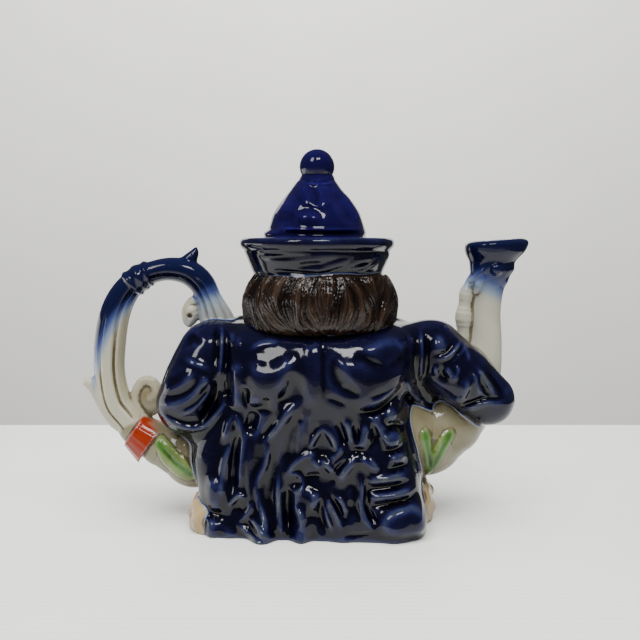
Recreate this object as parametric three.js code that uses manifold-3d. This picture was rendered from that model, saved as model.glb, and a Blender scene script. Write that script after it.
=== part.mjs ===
// A glazed figural teapot: a squat seated figure in a heavy coat and a turned-up hat.
// The crown of the hat is the lid, a scrolled handle rises from one side and a curved spout from the other.
// Units are millimetres. The origin is on the ground under the hat's axis. +X points to the spout,
// -Y to the figure's back, +Y to its face, and +Z up.
import * as THREE from "three";
import { mergeVertices } from "three/addons/utils/BufferGeometryUtils.js";
import Module from "manifold-3d";

// Driving dimensions of the pot.
const FIGURE_HEIGHT = 149.5; // ground to the top of the hat's brim
const WALL = 4.2; // clay of the body and head
const FLOOR = 5; // clay under the cavity
const SPOUT_WALL = 2.8; // clay around the spout's bore

// Driving dimensions of the hat, which holds the lid.
const BRIM_RADIUS = 40.3; // outside of the rolled rim
const BRIM_HEIGHT = 19.5; // turned-up brim, from the hair to the top of the rim
const HAT_BASE_RADIUS = 33.4; // where the brim starts, on the hair
const RIM_ROLL = 2.9; // radius of the rolled rim
const WELL_DEPTH = 5.7; // from the rim's top down to the seat of the lid
const OPENING_RADIUS = 24.5; // mouth that the lid closes

// Driving dimensions of the lid.
const SEAT_GAP = 0.3; // between the lid's underside and its seat
const FLANGE_CLEARANCE = 0.6; // between the locating ring and the mouth
const FLANGE_DEPTH = 8;
const FLANGE_WALL = 2.8;
const LID_OVERLAP = 3; // of the crown's foot over the mouth, all round
const LID_WALL = 3.2;
const CROWN_HEIGHT = 35.5; // from the crown's foot to the neck under the knob
const KNOB_RADIUS = 9.15;
const KNOB_SINK = 2.3; // of the knob into the crown's top

// Driving dimensions of the handle and spout.
const HANDLE_DEPTH = 14.6; // across the strap, front to back
const SPOUT_DEPTH_RATIO = 0.88; // of the spout's depth to its width
const SPOUT_PLANE = 4; // how far the spout sits in front of the hat's axis
const HANDLE_PLANE = 3;

// Fineness of the free form: the grid it is sampled on and the faces it keeps.
const FORM_CELL = 2.1;
const FORM_FACES = 3540;
const CAVITY_CELL = 5;
const CAVITY_FACES = 480;

// The free form is drawn on a figure of this height and follows FIGURE_HEIGHT.
const DRAWN_HEIGHT = 149.5;
const SCALE = FIGURE_HEIGHT / DRAWN_HEIGHT;

const COAT_BLUE = "#141c5c"; // cobalt glaze, thin over the carving
const CROWN_BLUE = "#10186e";
const wasm = await Module();
wasm.setup();

const clamp = (v, low, high) => Math.min(Math.max(v, low), high);
const mix = (a, b, t) => a + (b - a) * t;

// 0 below low, 1 above high, and an even rise between.
function rise(low, high, v) {
  const t = clamp((v - low) / (high - low), 0, 1);
  return t * t * (3 - 2 * t);
}

// The point at t, from 0 to 1, of a smooth curve through points of any dimension.
function along(points, t) {
  const last = points.length - 1;
  const place = clamp(t, 0, 1) * last;
  const i = Math.min(Math.floor(place), last - 1);
  const f = place - i;
  return points[i].map((p1, k) => {
    const p2 = points[i + 1][k];
    const p0 = i > 0 ? points[i - 1][k] : 2 * p1 - p2;
    const p3 = i < last - 1 ? points[i + 2][k] : 2 * p2 - p1;
    const lead = (p2 - p0) / 2;
    const tail = (p3 - p1) / 2;
    const bend = 3 * (p2 - p1) - 2 * lead - tail;
    const twist = 2 * (p1 - p2) + lead + tail;
    return p1 + f * (lead + f * (bend + f * twist));
  });
}

// A smooth height profile: stations are [height, value] pairs, held level beyond both ends.
function profile(stations) {
  const low = stations[0][0];
  const values = stations.map((s) => [s[1]]);
  const last = stations.length - 1;
  const table = Array.from({ length: 2 * (stations[last][0] - low) + 1 }, (_, n) => {
    const z = low + n / 2;
    const i = Math.max(stations.findIndex((s) => s[0] >= z) - 1, 0);
    return along(values, (i + (z - stations[i][0]) / (stations[i + 1][0] - stations[i][0])) / last)[0];
  });
  return (z) => {
    const place = clamp(2 * (z - low), 0, table.length - 1);
    const n = Math.min(Math.floor(place), table.length - 2);
    return mix(table[n], table[n + 1], place - n);
  };
}

// Signed distances, negative inside. Blends are the width over which two forms flow together.
function join(a, b, blend) {
  const h = Math.max(blend - Math.abs(a - b), 0) / blend;
  return Math.min(a, b) - (h * h * blend) / 4;
}
const common = (a, b, blend) => -join(-a, -b, blend);

function ball(x, y, z, [cx, cy, cz, rx, ry, rz]) {
  const dx = x - cx;
  const dy = y - cy;
  const dz = z - cz;
  const k0 = Math.hypot(dx / rx, dy / ry, dz / rz);
  const k1 = Math.hypot(dx / (rx * rx), dy / (ry * ry), dz / (rz * rz));
  return k1 > 0 ? (k0 * (k0 - 1)) / k1 : -Math.min(rx, ry, rz);
}

// A round limb through joints, each [x, y, z, radius].
function limb(x, y, z, joints) {
  let best = Infinity;
  for (let i = 0; i + 1 < joints.length; i++) {
    const [ax, ay, az, ar] = joints[i];
    const [bx, by, bz, br] = joints[i + 1];
    const ex = bx - ax;
    const ey = by - ay;
    const ez = bz - az;
    const t = clamp(((x - ax) * ex + (y - ay) * ey + (z - az) * ez) / (ex * ex + ey * ey + ez * ez), 0, 1);
    best = Math.min(best, Math.hypot(x - ax - t * ex, y - ay - t * ey, z - az - t * ez) - mix(ar, br, t));
  }
  return best;
}

// A soft ridge or groove across a surface: from, to and bend sideways place it, in two coordinates.
function fold(u, v, [u0, v0, u1, v1, bend, width, height]) {
  const ex = u1 - u0;
  const ey = v1 - v0;
  const size = Math.hypot(ex, ey);
  const t = clamp(((u - u0) * ex + (v - v0) * ey) / (size * size), 0, 1);
  const bow = 4 * bend * t * (1 - t);
  const side = Math.hypot(u - u0 - t * ex + (bow * ey) / size, v - v0 - t * ey - (bow * ex) / size);
  const q = side / width;
  if (q >= 1) return 0;
  const taper = Math.min(1, 0.35 + 4 * t, 0.35 + 4 * (1 - t));
  return height * taper * (1 - q * q) * (1 - q * q);
}

// Half widths of the coat at each height, from the hem up to the shoulders.
const coatLeft = profile([[0, 58], [20, 60.5], [40, 64.5], [55, 62], [70, 55], [90, 54], [107, 52]]);
const coatRight = profile([[0, 58.5], [20, 55.5], [40, 51.5], [55, 49], [70, 51.5], [90, 54], [107, 52]]);
const coatBack = profile([[0, 42.5], [20, 40], [40, 38.5], [60, 39], [80, 41.5], [95, 40.5], [107, 35]]);
const coatFront = profile([[0, 34], [30, 35], [60, 38], [80, 38], [95, 34], [107, 28]]);
const SHOULDER_TOP = 107;
const COAT_TURN = 0.1; // radians the skirt is turned on the pot
const COAT_SQUARENESS = 2.5;

// Folds of the coat's back, each [x, z, x, z, bend, width, height] as it is seen from behind.
const CAPE_FOLDS = [
  [1, 99, 1.5, 66, 0, 2.6, -1.8],
  [-24, 88, -22, 76, -3, 15, 2.8],
  [27, 92, 30, 74, 3, 18, 3.4],
  [56, 104, 56, 74, -1, 3, 2.2],
  [57, 74, 14, 64, -6, 5, 2.6],
  [55, 69, 12, 60, -6, 4.5, -3.2],
  [-53, 104, -50, 72, 1, 3, 2.4],
  [-49, 92, -46, 66, -3, 4, -2.6],
  [-44, 101, -42, 84, 1, 4, 1.8],
  [-36, 68, -12, 62, 3, 6, -2],
  [-18, 72, -8, 66, 0, 6, -2.2],
];
const SLEEVE_FOLDS = [
  [-72, 85, -54, 80, 1, 3.4, -3.2],
  [-70, 88, -54, 84, 1, 3.4, 1.8],
  [-68, 81, -71, 67, 2, 2.8, 2],
  [-61, 80, -63, 67, 2, 2.8, 2.4],
  [-53, 79, -66, 62, -5, 3.2, 2.6],
  [-84, 64, -67, 62, -1, 3, 2.6],
  [-82, 58, -60, 57, -3, 4, -2.4],
  [60, 86, 74, 92, -2, 3, -2.8],
  [64, 99, 67, 90, 0, 6, 2],
  [66, 82, 68, 76, 0, 6, 2.2],
  [76, 92, 78, 78, 1, 3, -2],
  [80, 84, 98, 68, -2, 3, 2.2],
  [78, 80, 90, 66, -2, 3, -1.8],
  [66, 66, 84, 60, -2, 4, -2],
];
const SKIRT_FOLDS = [
  [-62, 48, -56, 4, 2, 7, 2.6],
  [-48, 58, -50, 12, -2, 5.5, -4],
  [-46, 52, -49, 36, 3, 3.4, 2.8],
  [-42, 50, -45, 12, 3, 4.5, -3],
  [-45, 18, -39, 22, 0, 5, 4.2],
  [-44, 15, -27, 1, 2, 4.6, 3.4],
  [-34, 52, -33, 8, -3, 6, 2.6],
  [-26, 46, -28, 6, -2, 4.6, -2.6],
  [-19, 32, -20, 3, 0, 3.4, 2.6],
  [-14, 52, -23, 40, -3, 4.4, 2.2],
  [-16, 26, -16, 3, 0, 3.4, -2.6],
  [-12, 29, 3, 36, -3.4, 3.2, 3.6],
  [-12, 27, -7, 26, 0, 4, 4],
  [-10, 22, -8, 4, 2, 3.2, 3],
  [-1, 30, -3, 16, -1, 4.6, 3.6],
  [1, 27, 14, 8, -2, 3.4, 3.4],
  [0, 22, 4, 2, 1, 3, -3],
  [1, 60, -5, 40, 2.4, 2.8, 2.2],
  [4, 60, 9, 40, -2.4, 2.8, 2.2],
  [2, 50, 2.5, 40, 0, 3.4, -2.4],
  [10, 58, 19, 45, -2, 3.2, 2.2],
  [18, 44, 5, 32, -2, 3, 2.6],
  [28, 52, 21, 30, 2.4, 5, -3],
  [22, 31, 27, 6, 2, 3, 3],
  [25, 14, 33, 5, 2, 4, 2.8],
  [38, 50, 41, 42, 4, 4.6, 3.4],
];
// The even ripples over the skirt's right side, from the lowest up.
const RIPPLES = 4;
const RIPPLE_RISE = 7.2;
const RIPPLE_FOLDS = Array.from({ length: RIPPLES }, (_, i) => {
  const z = 14 + i * RIPPLE_RISE;
  return [27 + i * 3.4, z - 1, 50, z + 1.2, 0.6, 2.9, 2.6];
});
const BACK_FOLDS = [...CAPE_FOLDS, ...SLEEVE_FOLDS, ...SKIRT_FOLDS, ...RIPPLE_FOLDS];

// The hem swings out in lobes, each [x, half width, reach].
const HEM_LOBES = [[-54, 7, 2], [-27, 9, 8], [-8, 7, 5], [12, 8, 1.5], [38, 9, 1.5]];
const HEM_HEIGHT = 20;
const BACK_FROM = 6; // the back's carving starts behind this plane
function backRelief(x, z) {
  let height = 0;
  for (const f of BACK_FOLDS) height += fold(x, z, f);
  const low = rise(HEM_HEIGHT, 0, z);
  for (const [at, half, reach] of HEM_LOBES) height += low * reach * rise(half, 0, Math.abs(x - at));
  return height;
}

// The front is plainer: the coat's edges stand over a waistcoat, and its skirts fall in even flutes.
const coatGap = profile([[10, 40], [35, 30], [60, 17], [85, 12], [104, 9]]);
const COAT_EDGE = 2;
const FRONT_FLUTES = 11;
function frontRelief(x, z) {
  const side = rise(-1, 1.4, Math.abs(x) - coatGap(z));
  return side * (COAT_EDGE + 1.1 * Math.sin((x / 58) * FRONT_FLUTES) * rise(64, 40, z));
}

function coat(x, y, z) {
  const tx = x * Math.cos(COAT_TURN) - y * Math.sin(COAT_TURN);
  const ty = x * Math.sin(COAT_TURN) + y * Math.cos(COAT_TURN);
  const a = tx < 0 ? coatLeft(z) : coatRight(z);
  const b = ty < 0 ? coatBack(z) : coatFront(z);
  const sum = Math.abs(tx / a) ** COAT_SQUARENESS + Math.abs(ty / b) ** COAT_SQUARENESS;
  const q = sum ** (1 / COAT_SQUARENESS);
  return common((q - 1) * Math.min(a, b), z - SHOULDER_TOP, 14);
}

const LEFT_ARM = [
  [-56, -6, 89, 17], [-66, -12, 76, 17], [-69, -12, 66, 18],
  [-58, 14, 58, 15], [-38, 36, 56, 11],
];
const RIGHT_ARM = [
  [60, -6, 90, 17], [76, -9, 77, 16], [90, -9, 65, 13.5],
  [72, 16, 58, 14], [42, 38, 56, 11],
];

const ARMPIT = [58, 2, 72, 12, 18, 18]; // closes the corner between the right sleeve and the coat

// A closed hand on the lap at the end of each sleeve.
function hand(x, y, z) {
  const palm = limb(Math.abs(x), y, z, [[30, 42, 55, 8], [18, 49, 52, 7.5]]);
  const knuckles = 0.9 * Math.cos((z - 52) * 1.5) * rise(24, 16, Math.abs(x));
  return palm - knuckles;
}

const THIGH = [[20, 16, 28, 16], [25, 43, 31, 13.5]];
function legs(x, y, z) {
  const side = Math.abs(x);
  const thigh = limb(side, y, z, THIGH);
  const shin = limb(side, y, z, [[25, 44, 29, 12.5], [28, 46, 8, 10]]);
  const shoe = ball(side, y, z, [29, 53, 4, 11, 17, 10]);
  return join(join(thigh, shin, 6), shoe, 4);
}

// Rough ground under the figure, which shows beside the coat.
function ground(x, y, z) {
  const left = ball(x, y, z, [-58, -18, 7, 11.5, 19, 14]);
  const right = ball(x, y, z, [54, 0, 7, 8.5, 19, 16]);
  const middle = ball(x, y, z, [-2, 12, 0, 60, 46, 17]);
  const lumps = 1.1 * Math.sin(x * 0.42) * Math.sin(y * 0.37 + 1) * Math.sin(z * 0.4 + 2);
  return join(join(left, right, 4), middle, 8) - lumps;
}

// The pot's own belly, drawn out under both arms towards the handle and the spout.
const BELLY_LEFT = [[-98, HANDLE_PLANE, 46.5, 8.5], [-84, 3, 38.5, 12], [-66, 3, 33, 18], [-40, 2, 36, 26]];
const BELLY_RIGHT = [
  [40, 3, 46, 27], [60, SPOUT_PLANE, 46, 19.5], [72, SPOUT_PLANE, 52, 17.5], [82, SPOUT_PLANE, 63, 15.5],
];
function belly(x, y, z) {
  const left = join(limb(x, y, z, BELLY_LEFT), ball(x, y, z, CORNER_FILL), 2);
  const right = limb(x, y, z, BELLY_RIGHT);
  return join(left, right, 10);
}

// Leaves in low relief on the belly, as it is seen from behind.
const LEAF_FOLDS = [
  [-88, 40, -68, 28, 2, 8, 1.3],
  [-88, 41, -68, 30, 0, 1.8, -1.2],
  [59, 22, 56, 46, 1, 5, 1.4],
  [60, 24, 71, 44, -1, 5, 1.4],
];

// Clay that fills the corner between the lower scroll, the sleeve and the belly.
const CORNER_FILL = [-90.5, HANDLE_PLANE, 64, 8, 2.4, 10.5];

// The band that binds the handle's foot to the belly.
const CUFF_FROM = [-97, 46, 0];
const CUFF_TO = [-88, 40, 0];
function cuff(x, y, z) {
  const ring = limb(x, y, z, [[-97, 3, 45.4, 10.2], [-89, 3, 39, 12.6]]);
  const ux = CUFF_TO[0] - CUFF_FROM[0];
  const uz = CUFF_TO[1] - CUFF_FROM[1];
  const s = ((x - CUFF_FROM[0]) * ux + (z - CUFF_FROM[1]) * uz) / Math.hypot(ux, uz);
  return Math.max(ring, -s - 1.5, s - 10);
}

function head(x, y, z) {
  const side = Math.abs(x);
  let d = ball(x, y, z, [0, 7, 113, 29, 31, 25]);
  d = join(d, ball(x, y, z, [0, 25, 99, 17, 12, 9.5]), 9);
  d = join(d, ball(side, y, z, [13.5, 29, 107, 8, 7, 7]), 6);
  d = join(d, limb(side, y, z, [[4, 37.5, 121, 1.6], [15, 33.5, 120.5, 1.6]]), 4);
  d = join(d, limb(x, y, z, [[0, 38, 119, 2.4], [0, 42.5, 110, 3.6]]), 3);
  d = join(d, ball(side, y, z, [3.6, 39.5, 109.2, 2.6, 2.4, 2.2]), 2);
  d = -join(-d, ball(side, y, z, [10, 39.5, 116.6, 5, 3.4, 2.6]), 2);
  d = join(d, ball(side, y, z, [10, 34.4, 116.4, 4.2, 3, 2.6]), 1);
  d = join(d, limb(side, y, z, [[0, 38.4, 103.6, 1.5], [5.6, 36.6, 103.4, 0.7]]), 1);
  return join(d, limb(side, y, z, [[0, 38, 101, 1.6], [4.6, 36.4, 101.6, 0.8]]), 1);
}

// Hair in thick locks, cut level at the collar, with a parting of its strands at the back.
const hairWidth = profile([
  [97, 22], [101, 33], [105, 38.6], [112, 40.4],
  [121, 40.4], [128, 37.5], [134, 33],
]);
const HAIR_DEPTH = 0.94; // of its width
const LOCKS = 15;
function hair(x, y, z) {
  const hx = x - 2;
  const drop = z + 3.2 * (hx / 40) ** 2;
  const a = hairWidth(drop);
  const around = Math.atan2(hx, -y - 2);
  const sweep = around * LOCKS + 2.4 * Math.sin((132 - z) / 9 + around) + (132 - z) * 0.09 * Math.sign(hx);
  const lock = 0.8 * Math.abs(Math.sin(sweep / 2)) + 0.5 * Math.sin(sweep * 1.7);
  const d = (Math.hypot(hx / a, (y + 2) / (a * HAIR_DEPTH)) - 1) * a - lock * rise(98, 103, z);
  const low = 98.2 - drop + 0.5 * Math.sin(sweep);
  const face = y - mix(6, 17, rise(100, 128, z));
  return common(common(common(d, low, 8), z - 136, 4), face, 6);
}

const neckCloth = (x, y, z) => limb(Math.abs(x), y, z, [[0, 34, 92, 4], [9, 34.5, 90, 5], [15, 33, 91, 3]]);
const button = (x, y, z, height) => ball(x, y, z, [0, coatFront(height) + 2.2, height, 2.8, 2, 2.8]);

// The whole free form, in drawn units.
function figure(x, y, z) {
  let body = coat(x, y, z) - frontRelief(x, z) * rise(-4, 10, y);
  body = join(body, limb(x, y, z, LEFT_ARM), 7);
  body = join(body, join(limb(x, y, z, RIGHT_ARM), ball(x, y, z, ARMPIT), 3), 7);
  const behind = rise(BACK_FROM, BACK_FROM - 18, y);
  if (behind && Math.abs(body) < FIELD_ERROR) body -= backRelief(x, z) * behind;
  let leaves = 0;
  for (const f of LEAF_FOLDS) leaves += fold(x, z, f);
  let d = join(body, belly(x, y, z) - leaves, 2.4);
  d = join(d, cuff(x, y, z), 1.5);
  d = join(d, legs(x, y, z), 4);
  d = join(d, hand(x, y, z), 2);
  d = join(d, ground(x, y, z), 2);
  d = join(d, head(x, y, z), 3);
  d = join(d, hair(x, y, z), 1.6);
  d = join(d, neckCloth(x, y, z), 1);
  for (const height of [80, 68]) d = join(d, button(x, y, z, height), 0.6);
  return Math.max(d, -4.5 - z, z - 133);
}

// The cavity follows the form one wall inside it, into the arms and thighs, and up into the head.
const CARVING_ALLOWANCE = 1.8; // more clay under the carved coat
const CAVITY_REACH = 74; // how far it runs out to either side
function cavity(x, y, z) {
  const inset = WALL / SCALE;
  const arms = Math.min(limb(x, y, z, LEFT_ARM), limb(x, y, z, RIGHT_ARM)) + inset;
  const thighs = limb(Math.abs(x), y, z, THIGH) + inset;
  const trunk = join(coat(x, y, z) + inset, join(arms, thighs, 4), 6) + CARVING_ALLOWANCE;
  const bellySpace = common(belly(x, y, z) + inset, Math.abs(x) - CAVITY_REACH, 5);
  const skull = ball(x, y, z, [0, 0, 114, 35 - inset, 31 - inset, 24 - inset]);
  return common(join(join(trunk, bellySpace, 4), skull, 8), FLOOR / SCALE - z, 3);
}

// Samples a field on a grid. Blocks that lie far from its surface take one value for all their points.
const BLOCK = 4;
const FIELD_ERROR = 8; // how far relief and blends may move the surface from the field's own estimate
const cellOf = (n, nx, ny) => [n % nx, Math.floor(n / nx) % ny, Math.floor(n / (nx * ny))];
function sampled(field, low, cell, counts) {
  const [nx, ny, nz] = counts;
  const values = new Float64Array(nx * ny * nz);
  const reach = ((BLOCK - 1) / 2) * cell * Math.sqrt(3) + FIELD_ERROR;
  const [bx, by, bz] = counts.map((count) => Math.ceil(count / BLOCK));
  for (let block = 0; block < bx * by * bz; block++) {
    const start = cellOf(block, bx, by).map((v) => v * BLOCK);
    const middle = field(...start.map((v, k) => low[k] + (v + (BLOCK - 1) / 2) * cell));
    const far = Math.abs(middle) > reach;
    for (let k = start[2]; k < Math.min(start[2] + BLOCK, nz); k++) {
      for (let j = start[1]; j < Math.min(start[1] + BLOCK, ny); j++) {
        for (let i = start[0]; i < Math.min(start[0] + BLOCK, nx); i++) {
          const value = far ? middle : field(low[0] + i * cell, low[1] + j * cell, low[2] + k * cell);
          values[i + nx * (j + ny * k)] = value;
        }
      }
    }
  }
  return values;
}

// Marching tetrahedra: each grid cell is cut into six tetrahedra, so the surface always closes.
const CORNERS = Array.from({ length: 8 }, (_, c) => [c & 1, (c >> 1) & 1, c >> 2]);
const PATHS = [[0, 1, 3, 7], [0, 5, 1, 7], [0, 3, 2, 7], [0, 2, 6, 7], [0, 4, 5, 7], [0, 6, 4, 7]];
const EDGE_MARGIN = 0.12; // keeps new vertices this share of an edge away from its ends
function surfaceOf(field, low, high, cell) {
  const [nx, ny, nz] = low.map((v, k) => Math.ceil((high[k] - v) / cell) + 1);
  const at = (i, j, k) => i + nx * (j + ny * k);
  const place = (n) => cellOf(n, nx, ny).map((v, k) => low[k] + v * cell);
  const values = sampled(field, low, cell, [nx, ny, nz]);
  const positions = [];
  const faces = [];
  const made = new Map();
  const crossing = (a, b) => {
    const key = Math.min(a, b) * values.length + Math.max(a, b);
    if (!made.has(key)) {
      const t = clamp(values[a] / (values[a] - values[b]), EDGE_MARGIN, 1 - EDGE_MARGIN);
      const end = place(b);
      made.set(key, positions.length);
      positions.push(place(a).map((v, k) => mix(v, end[k], t)));
    }
    return made.get(key);
  };
  for (let k = 0; k + 1 < nz; k++) {
    for (let j = 0; j + 1 < ny; j++) {
      for (let i = 0; i + 1 < nx; i++) {
        const corners = CORNERS.map(([di, dj, dk]) => at(i + di, j + dj, k + dk));
        const inside = corners.filter((c) => values[c] < 0).length;
        if (inside === 0 || inside === 8) continue;
        for (const path of PATHS) cutTetrahedron(path.map((c) => corners[c]), values, crossing, faces);
      }
    }
  }
  return { positions, faces };
}

// Adds the faces where the surface crosses one tetrahedron, turned outwards.
function cutTetrahedron(tetra, values, crossing, faces) {
  const order = [...tetra];
  const inside = order.map((c) => values[c] < 0);
  const count = inside.filter(Boolean).length;
  if (count === 0 || count === 4) return;
  const rolls = [[0, 1, 2, 3], [1, 0, 3, 2], [2, 3, 0, 1], [3, 2, 1, 0]];
  if (count !== 2) {
    const [a, b, c, d] = rolls[inside.indexOf(count === 1)].map((n) => order[n]);
    const face = [crossing(a, b), crossing(a, c), crossing(a, d)];
    faces.push(count === 1 ? face : face.reverse());
    return;
  }
  const pairs = [[0, 1, 2, 3], [0, 2, 3, 1], [0, 3, 1, 2], [1, 2, 0, 3], [1, 3, 2, 0], [2, 3, 0, 1]];
  const [a, b, c, d] = pairs.find((p) => inside[p[0]] && inside[p[1]]).map((n) => order[n]);
  const quad = [crossing(a, c), crossing(a, d), crossing(b, d), crossing(b, c)];
  faces.push([quad[0], quad[1], quad[2]], [quad[0], quad[2], quad[3]]);
}

// The best place for two joined vertices under a quadric q, between a and b if none is well defined.
function bestPlace(q, a, b) {
  const [xx, xy, xz, xw, yy, yz, yw, zz, zw, ww] = q;
  const cost = ([x, y, z]) => {
    const squares = x * x * xx + y * y * yy + z * z * zz + ww;
    return squares + 2 * (x * y * xy + x * z * xz + y * z * yz + x * xw + y * yw + z * zw);
  };
  const cx = yy * zz - yz * yz;
  const cy = xz * yz - xy * zz;
  const cz = xy * yz - xz * yy;
  const det = xx * cx + xy * cy + xz * cz;
  const middle = a.map((v, k) => (v + b[k]) / 2);
  const choices = [middle, a, b];
  if (Math.abs(det) > SMALLEST_DETERMINANT) {
    const solved = [
      -(xw * cx + yw * cy + zw * cz) / det,
      -(xw * cy + yw * (xx * zz - xz * xz) + zw * (xy * xz - xx * yz)) / det,
      -(xw * cz + yw * (xy * xz - xx * yz) + zw * (xx * yy - xy * xy)) / det,
    ];
    const reach = Math.hypot(...solved.map((v, k) => v - middle[k]));
    if (reach < Math.hypot(...a.map((v, k) => v - b[k]))) choices.unshift(solved);
  }
  return choices.map((p) => ({ p, cost: cost(p) })).reduce((x, y) => (y.cost < x.cost ? y : x));
}
const SMALLEST_DETERMINANT = 1e-3;

function crossOf([ax, ay, az], [bx, by, bz], [cx, cy, cz]) {
  const [ux, uy, uz, vx, vy, vz] = [bx - ax, by - ay, bz - az, cx - ax, cy - ay, cz - az];
  return [uy * vz - uz * vy, uz * vx - ux * vz, ux * vy - uy * vx];
}

// A queue that gives back its cheapest entry first.
class Cheapest {
  entries = [];
  push(entry) {
    const e = this.entries;
    e.push(entry);
    let i = e.length - 1;
    while (i > 0 && e[(i - 1) >> 1].cost > e[i].cost) {
      const up = (i - 1) >> 1;
      [e[up], e[i]] = [e[i], e[up]];
      i = up;
    }
  }
  pop() {
    const e = this.entries;
    const top = e[0];
    const tail = e.pop();
    if (e.length) {
      e[0] = tail;
      let i = 0;
      for (;;) {
        let least = i;
        for (const child of [2 * i + 1, 2 * i + 2]) {
          if (child < e.length && e[child].cost < e[least].cost) least = child;
        }
        if (least === i) break;
        [e[least], e[i]] = [e[i], e[least]];
        i = least;
      }
    }
    return top;
  }
}

// Joins the vertices whose joining changes the surface least, until it has at most the faces asked for.
const LEAST_TURN = 0.25; // cosine between a face's old and new normal
function simplified({ positions, faces }, most) {
  const points = positions.map((p) => [...p]);
  const live = faces.map((f) => [...f]);
  const around = points.map(() => new Set());
  const quadrics = points.map(() => new Float64Array(10));
  const stamps = new Int32Array(points.length);
  live.forEach((f, n) => {
    const normal = crossOf(...f.map((v) => points[v]));
    const size = Math.hypot(...normal) || 1;
    const [a, b, c] = normal.map((v) => v / size);
    const d = -(a * points[f[0]][0] + b * points[f[0]][1] + c * points[f[0]][2]);
    const plane = [a * a, a * b, a * c, a * d, b * b, b * c, b * d, c * c, c * d, d * d];
    for (const v of f) {
      around[v].add(n);
      plane.forEach((value, k) => (quadrics[v][k] += value * size));
    }
  });
  const neighbours = (v) => new Set([...around[v]].flatMap((n) => live[n]).filter((w) => w !== v));
  const queue = new Cheapest();
  const offer = (a, b) => {
    const best = bestPlace(quadrics[a].map((v, k) => v + quadrics[b][k]), points[a], points[b]);
    queue.push({ ...best, a, b, stamp: stamps[a] + stamps[b] });
  };
  points.forEach((_, a) => neighbours(a).forEach((b) => a < b && offer(a, b)));
  const turns = (v, other, p) =>
    [...around[v]].some((n) => {
      if (live[n].includes(other)) return false;
      const before = crossOf(...live[n].map((w) => points[w]));
      const after = crossOf(...live[n].map((w) => (w === v ? p : points[w])));
      const agree = before[0] * after[0] + before[1] * after[1] + before[2] * after[2];
      return agree <= LEAST_TURN * Math.hypot(...before) * Math.hypot(...after);
    });
  let count = faces.length;
  while (count > most && queue.entries.length) {
    const { a, b, p, stamp } = queue.pop();
    if (!around[a].size || !around[b].size || stamp !== stamps[a] + stamps[b]) continue;
    const near = neighbours(b);
    if (!near.has(a)) continue;
    if ([...neighbours(a)].filter((v) => near.has(v)).length !== 2) continue;
    if (turns(a, b, p) || turns(b, a, p)) continue;
    for (const n of around[b]) {
      if (live[n].includes(a)) {
        for (const v of live[n]) if (v !== b) around[v].delete(n);
        count--;
      } else {
        live[n] = live[n].map((v) => (v === b ? a : v));
        around[a].add(n);
      }
    }
    around[b] = new Set();
    points[a] = p;
    quadrics[b].forEach((value, k) => (quadrics[a][k] += value));
    stamps[a]++;
    stamps[b]++;
    for (const v of neighbours(a)) offer(a, v);
  }
  const kept = new Map();
  const left = [...new Set(around.flatMap((set) => [...set]))].map((n) => live[n]);
  for (const v of left.flat()) if (!kept.has(v)) kept.set(v, kept.size);
  const renumbered = left.map((f) => f.map((v) => kept.get(v)));
  return { positions: [...kept.keys()].map((v) => points[v]), faces: renumbered };
}

// Geometry from shared points and the faces between them.
function geometryOf({ positions, faces }) {
  const geometry = new THREE.BufferGeometry();
  geometry.setAttribute("position", new THREE.Float32BufferAttribute(positions.flat(), 3));
  geometry.setIndex(faces.flat());
  return geometry;
}

// A closed tube through rings of points, each ring counterclockwise as the tube leaves it, with flat ends.
function loft(rings) {
  const sides = rings[0].length;
  const positions = rings.flat();
  const faces = [];
  rings.slice(1).forEach((_, r) => {
    for (let s = 0; s < sides; s++) {
      const a = r * sides + s;
      const b = r * sides + ((s + 1) % sides);
      faces.push([a, b, b + sides], [a, b + sides, a + sides]);
    }
  });
  const middle = (ring) => [0, 1, 2].map((k) => ring.reduce((sum, p) => sum + p[k], 0) / sides);
  const first = positions.push(middle(rings[0])) - 1;
  const last = positions.push(middle(rings.at(-1))) - 1;
  const lastRing = (rings.length - 1) * sides;
  for (let s = 0; s < sides; s++) {
    const next = (s + 1) % sides;
    faces.push([first, next, s], [last, lastRing + s, lastRing + next]);
  }
  return geometryOf({ positions, faces });
}

// One ring of a tube that stands in an upright plane, across a line [x, z, x, z] between its two edges.
// section(angle, half, t) gives each point's offset as [along the line, out of the plane].
function ringAcross([x0, z0, x1, z1], plane, sides, section, t) {
  const half = Math.hypot(x1 - x0, z1 - z0) / 2;
  return Array.from({ length: sides }, (_, s) => {
    const [u, v] = section((2 * Math.PI * s) / sides, half, t);
    return [mix(x0, x1, 0.5 + u / (2 * half)), plane + v, mix(z0, z1, 0.5 + u / (2 * half))];
  });
}
function ringsAcross(lines, plane, steps, sides, section) {
  const shares = Array.from({ length: steps + 1 }, (_, i) => i / steps);
  return shares.map((t) => ringAcross(along(lines, t), plane, sides, section, t));
}

// Rings square to a path whose points are [x, z, half width].
function ringsAlong(path, plane, steps, sides, section) {
  return Array.from({ length: steps + 1 }, (_, i) => {
    const t = i / steps;
    const [x, z, half] = along(path, t);
    const before = along(path, t - 0.5 / steps);
    const after = along(path, t + 0.5 / steps);
    const share = half / Math.hypot(after[0] - before[0], after[1] - before[1]);
    const ex = (after[1] - before[1]) * share;
    const ez = (before[0] - after[0]) * share;
    return ringAcross([x - ex, z - ez, x + ex, z + ez], plane, sides, section, t);
  });
}
const roundSection = (angle, half) => [half * Math.cos(angle), half * Math.sin(angle)];

// A geometry as a solid, with shared vertices merged.
function solid(geometry) {
  const bare = geometry.clone();
  for (const name of ["normal", "uv"]) bare.deleteAttribute(name);
  const merged = mergeVertices(bare, 1e-4);
  const vertProperties = merged.attributes.position.array;
  const triVerts = new Uint32Array(merged.index.array);
  return new wasm.Manifold(new wasm.Mesh({ numProp: 3, vertProperties, triVerts }));
}

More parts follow.
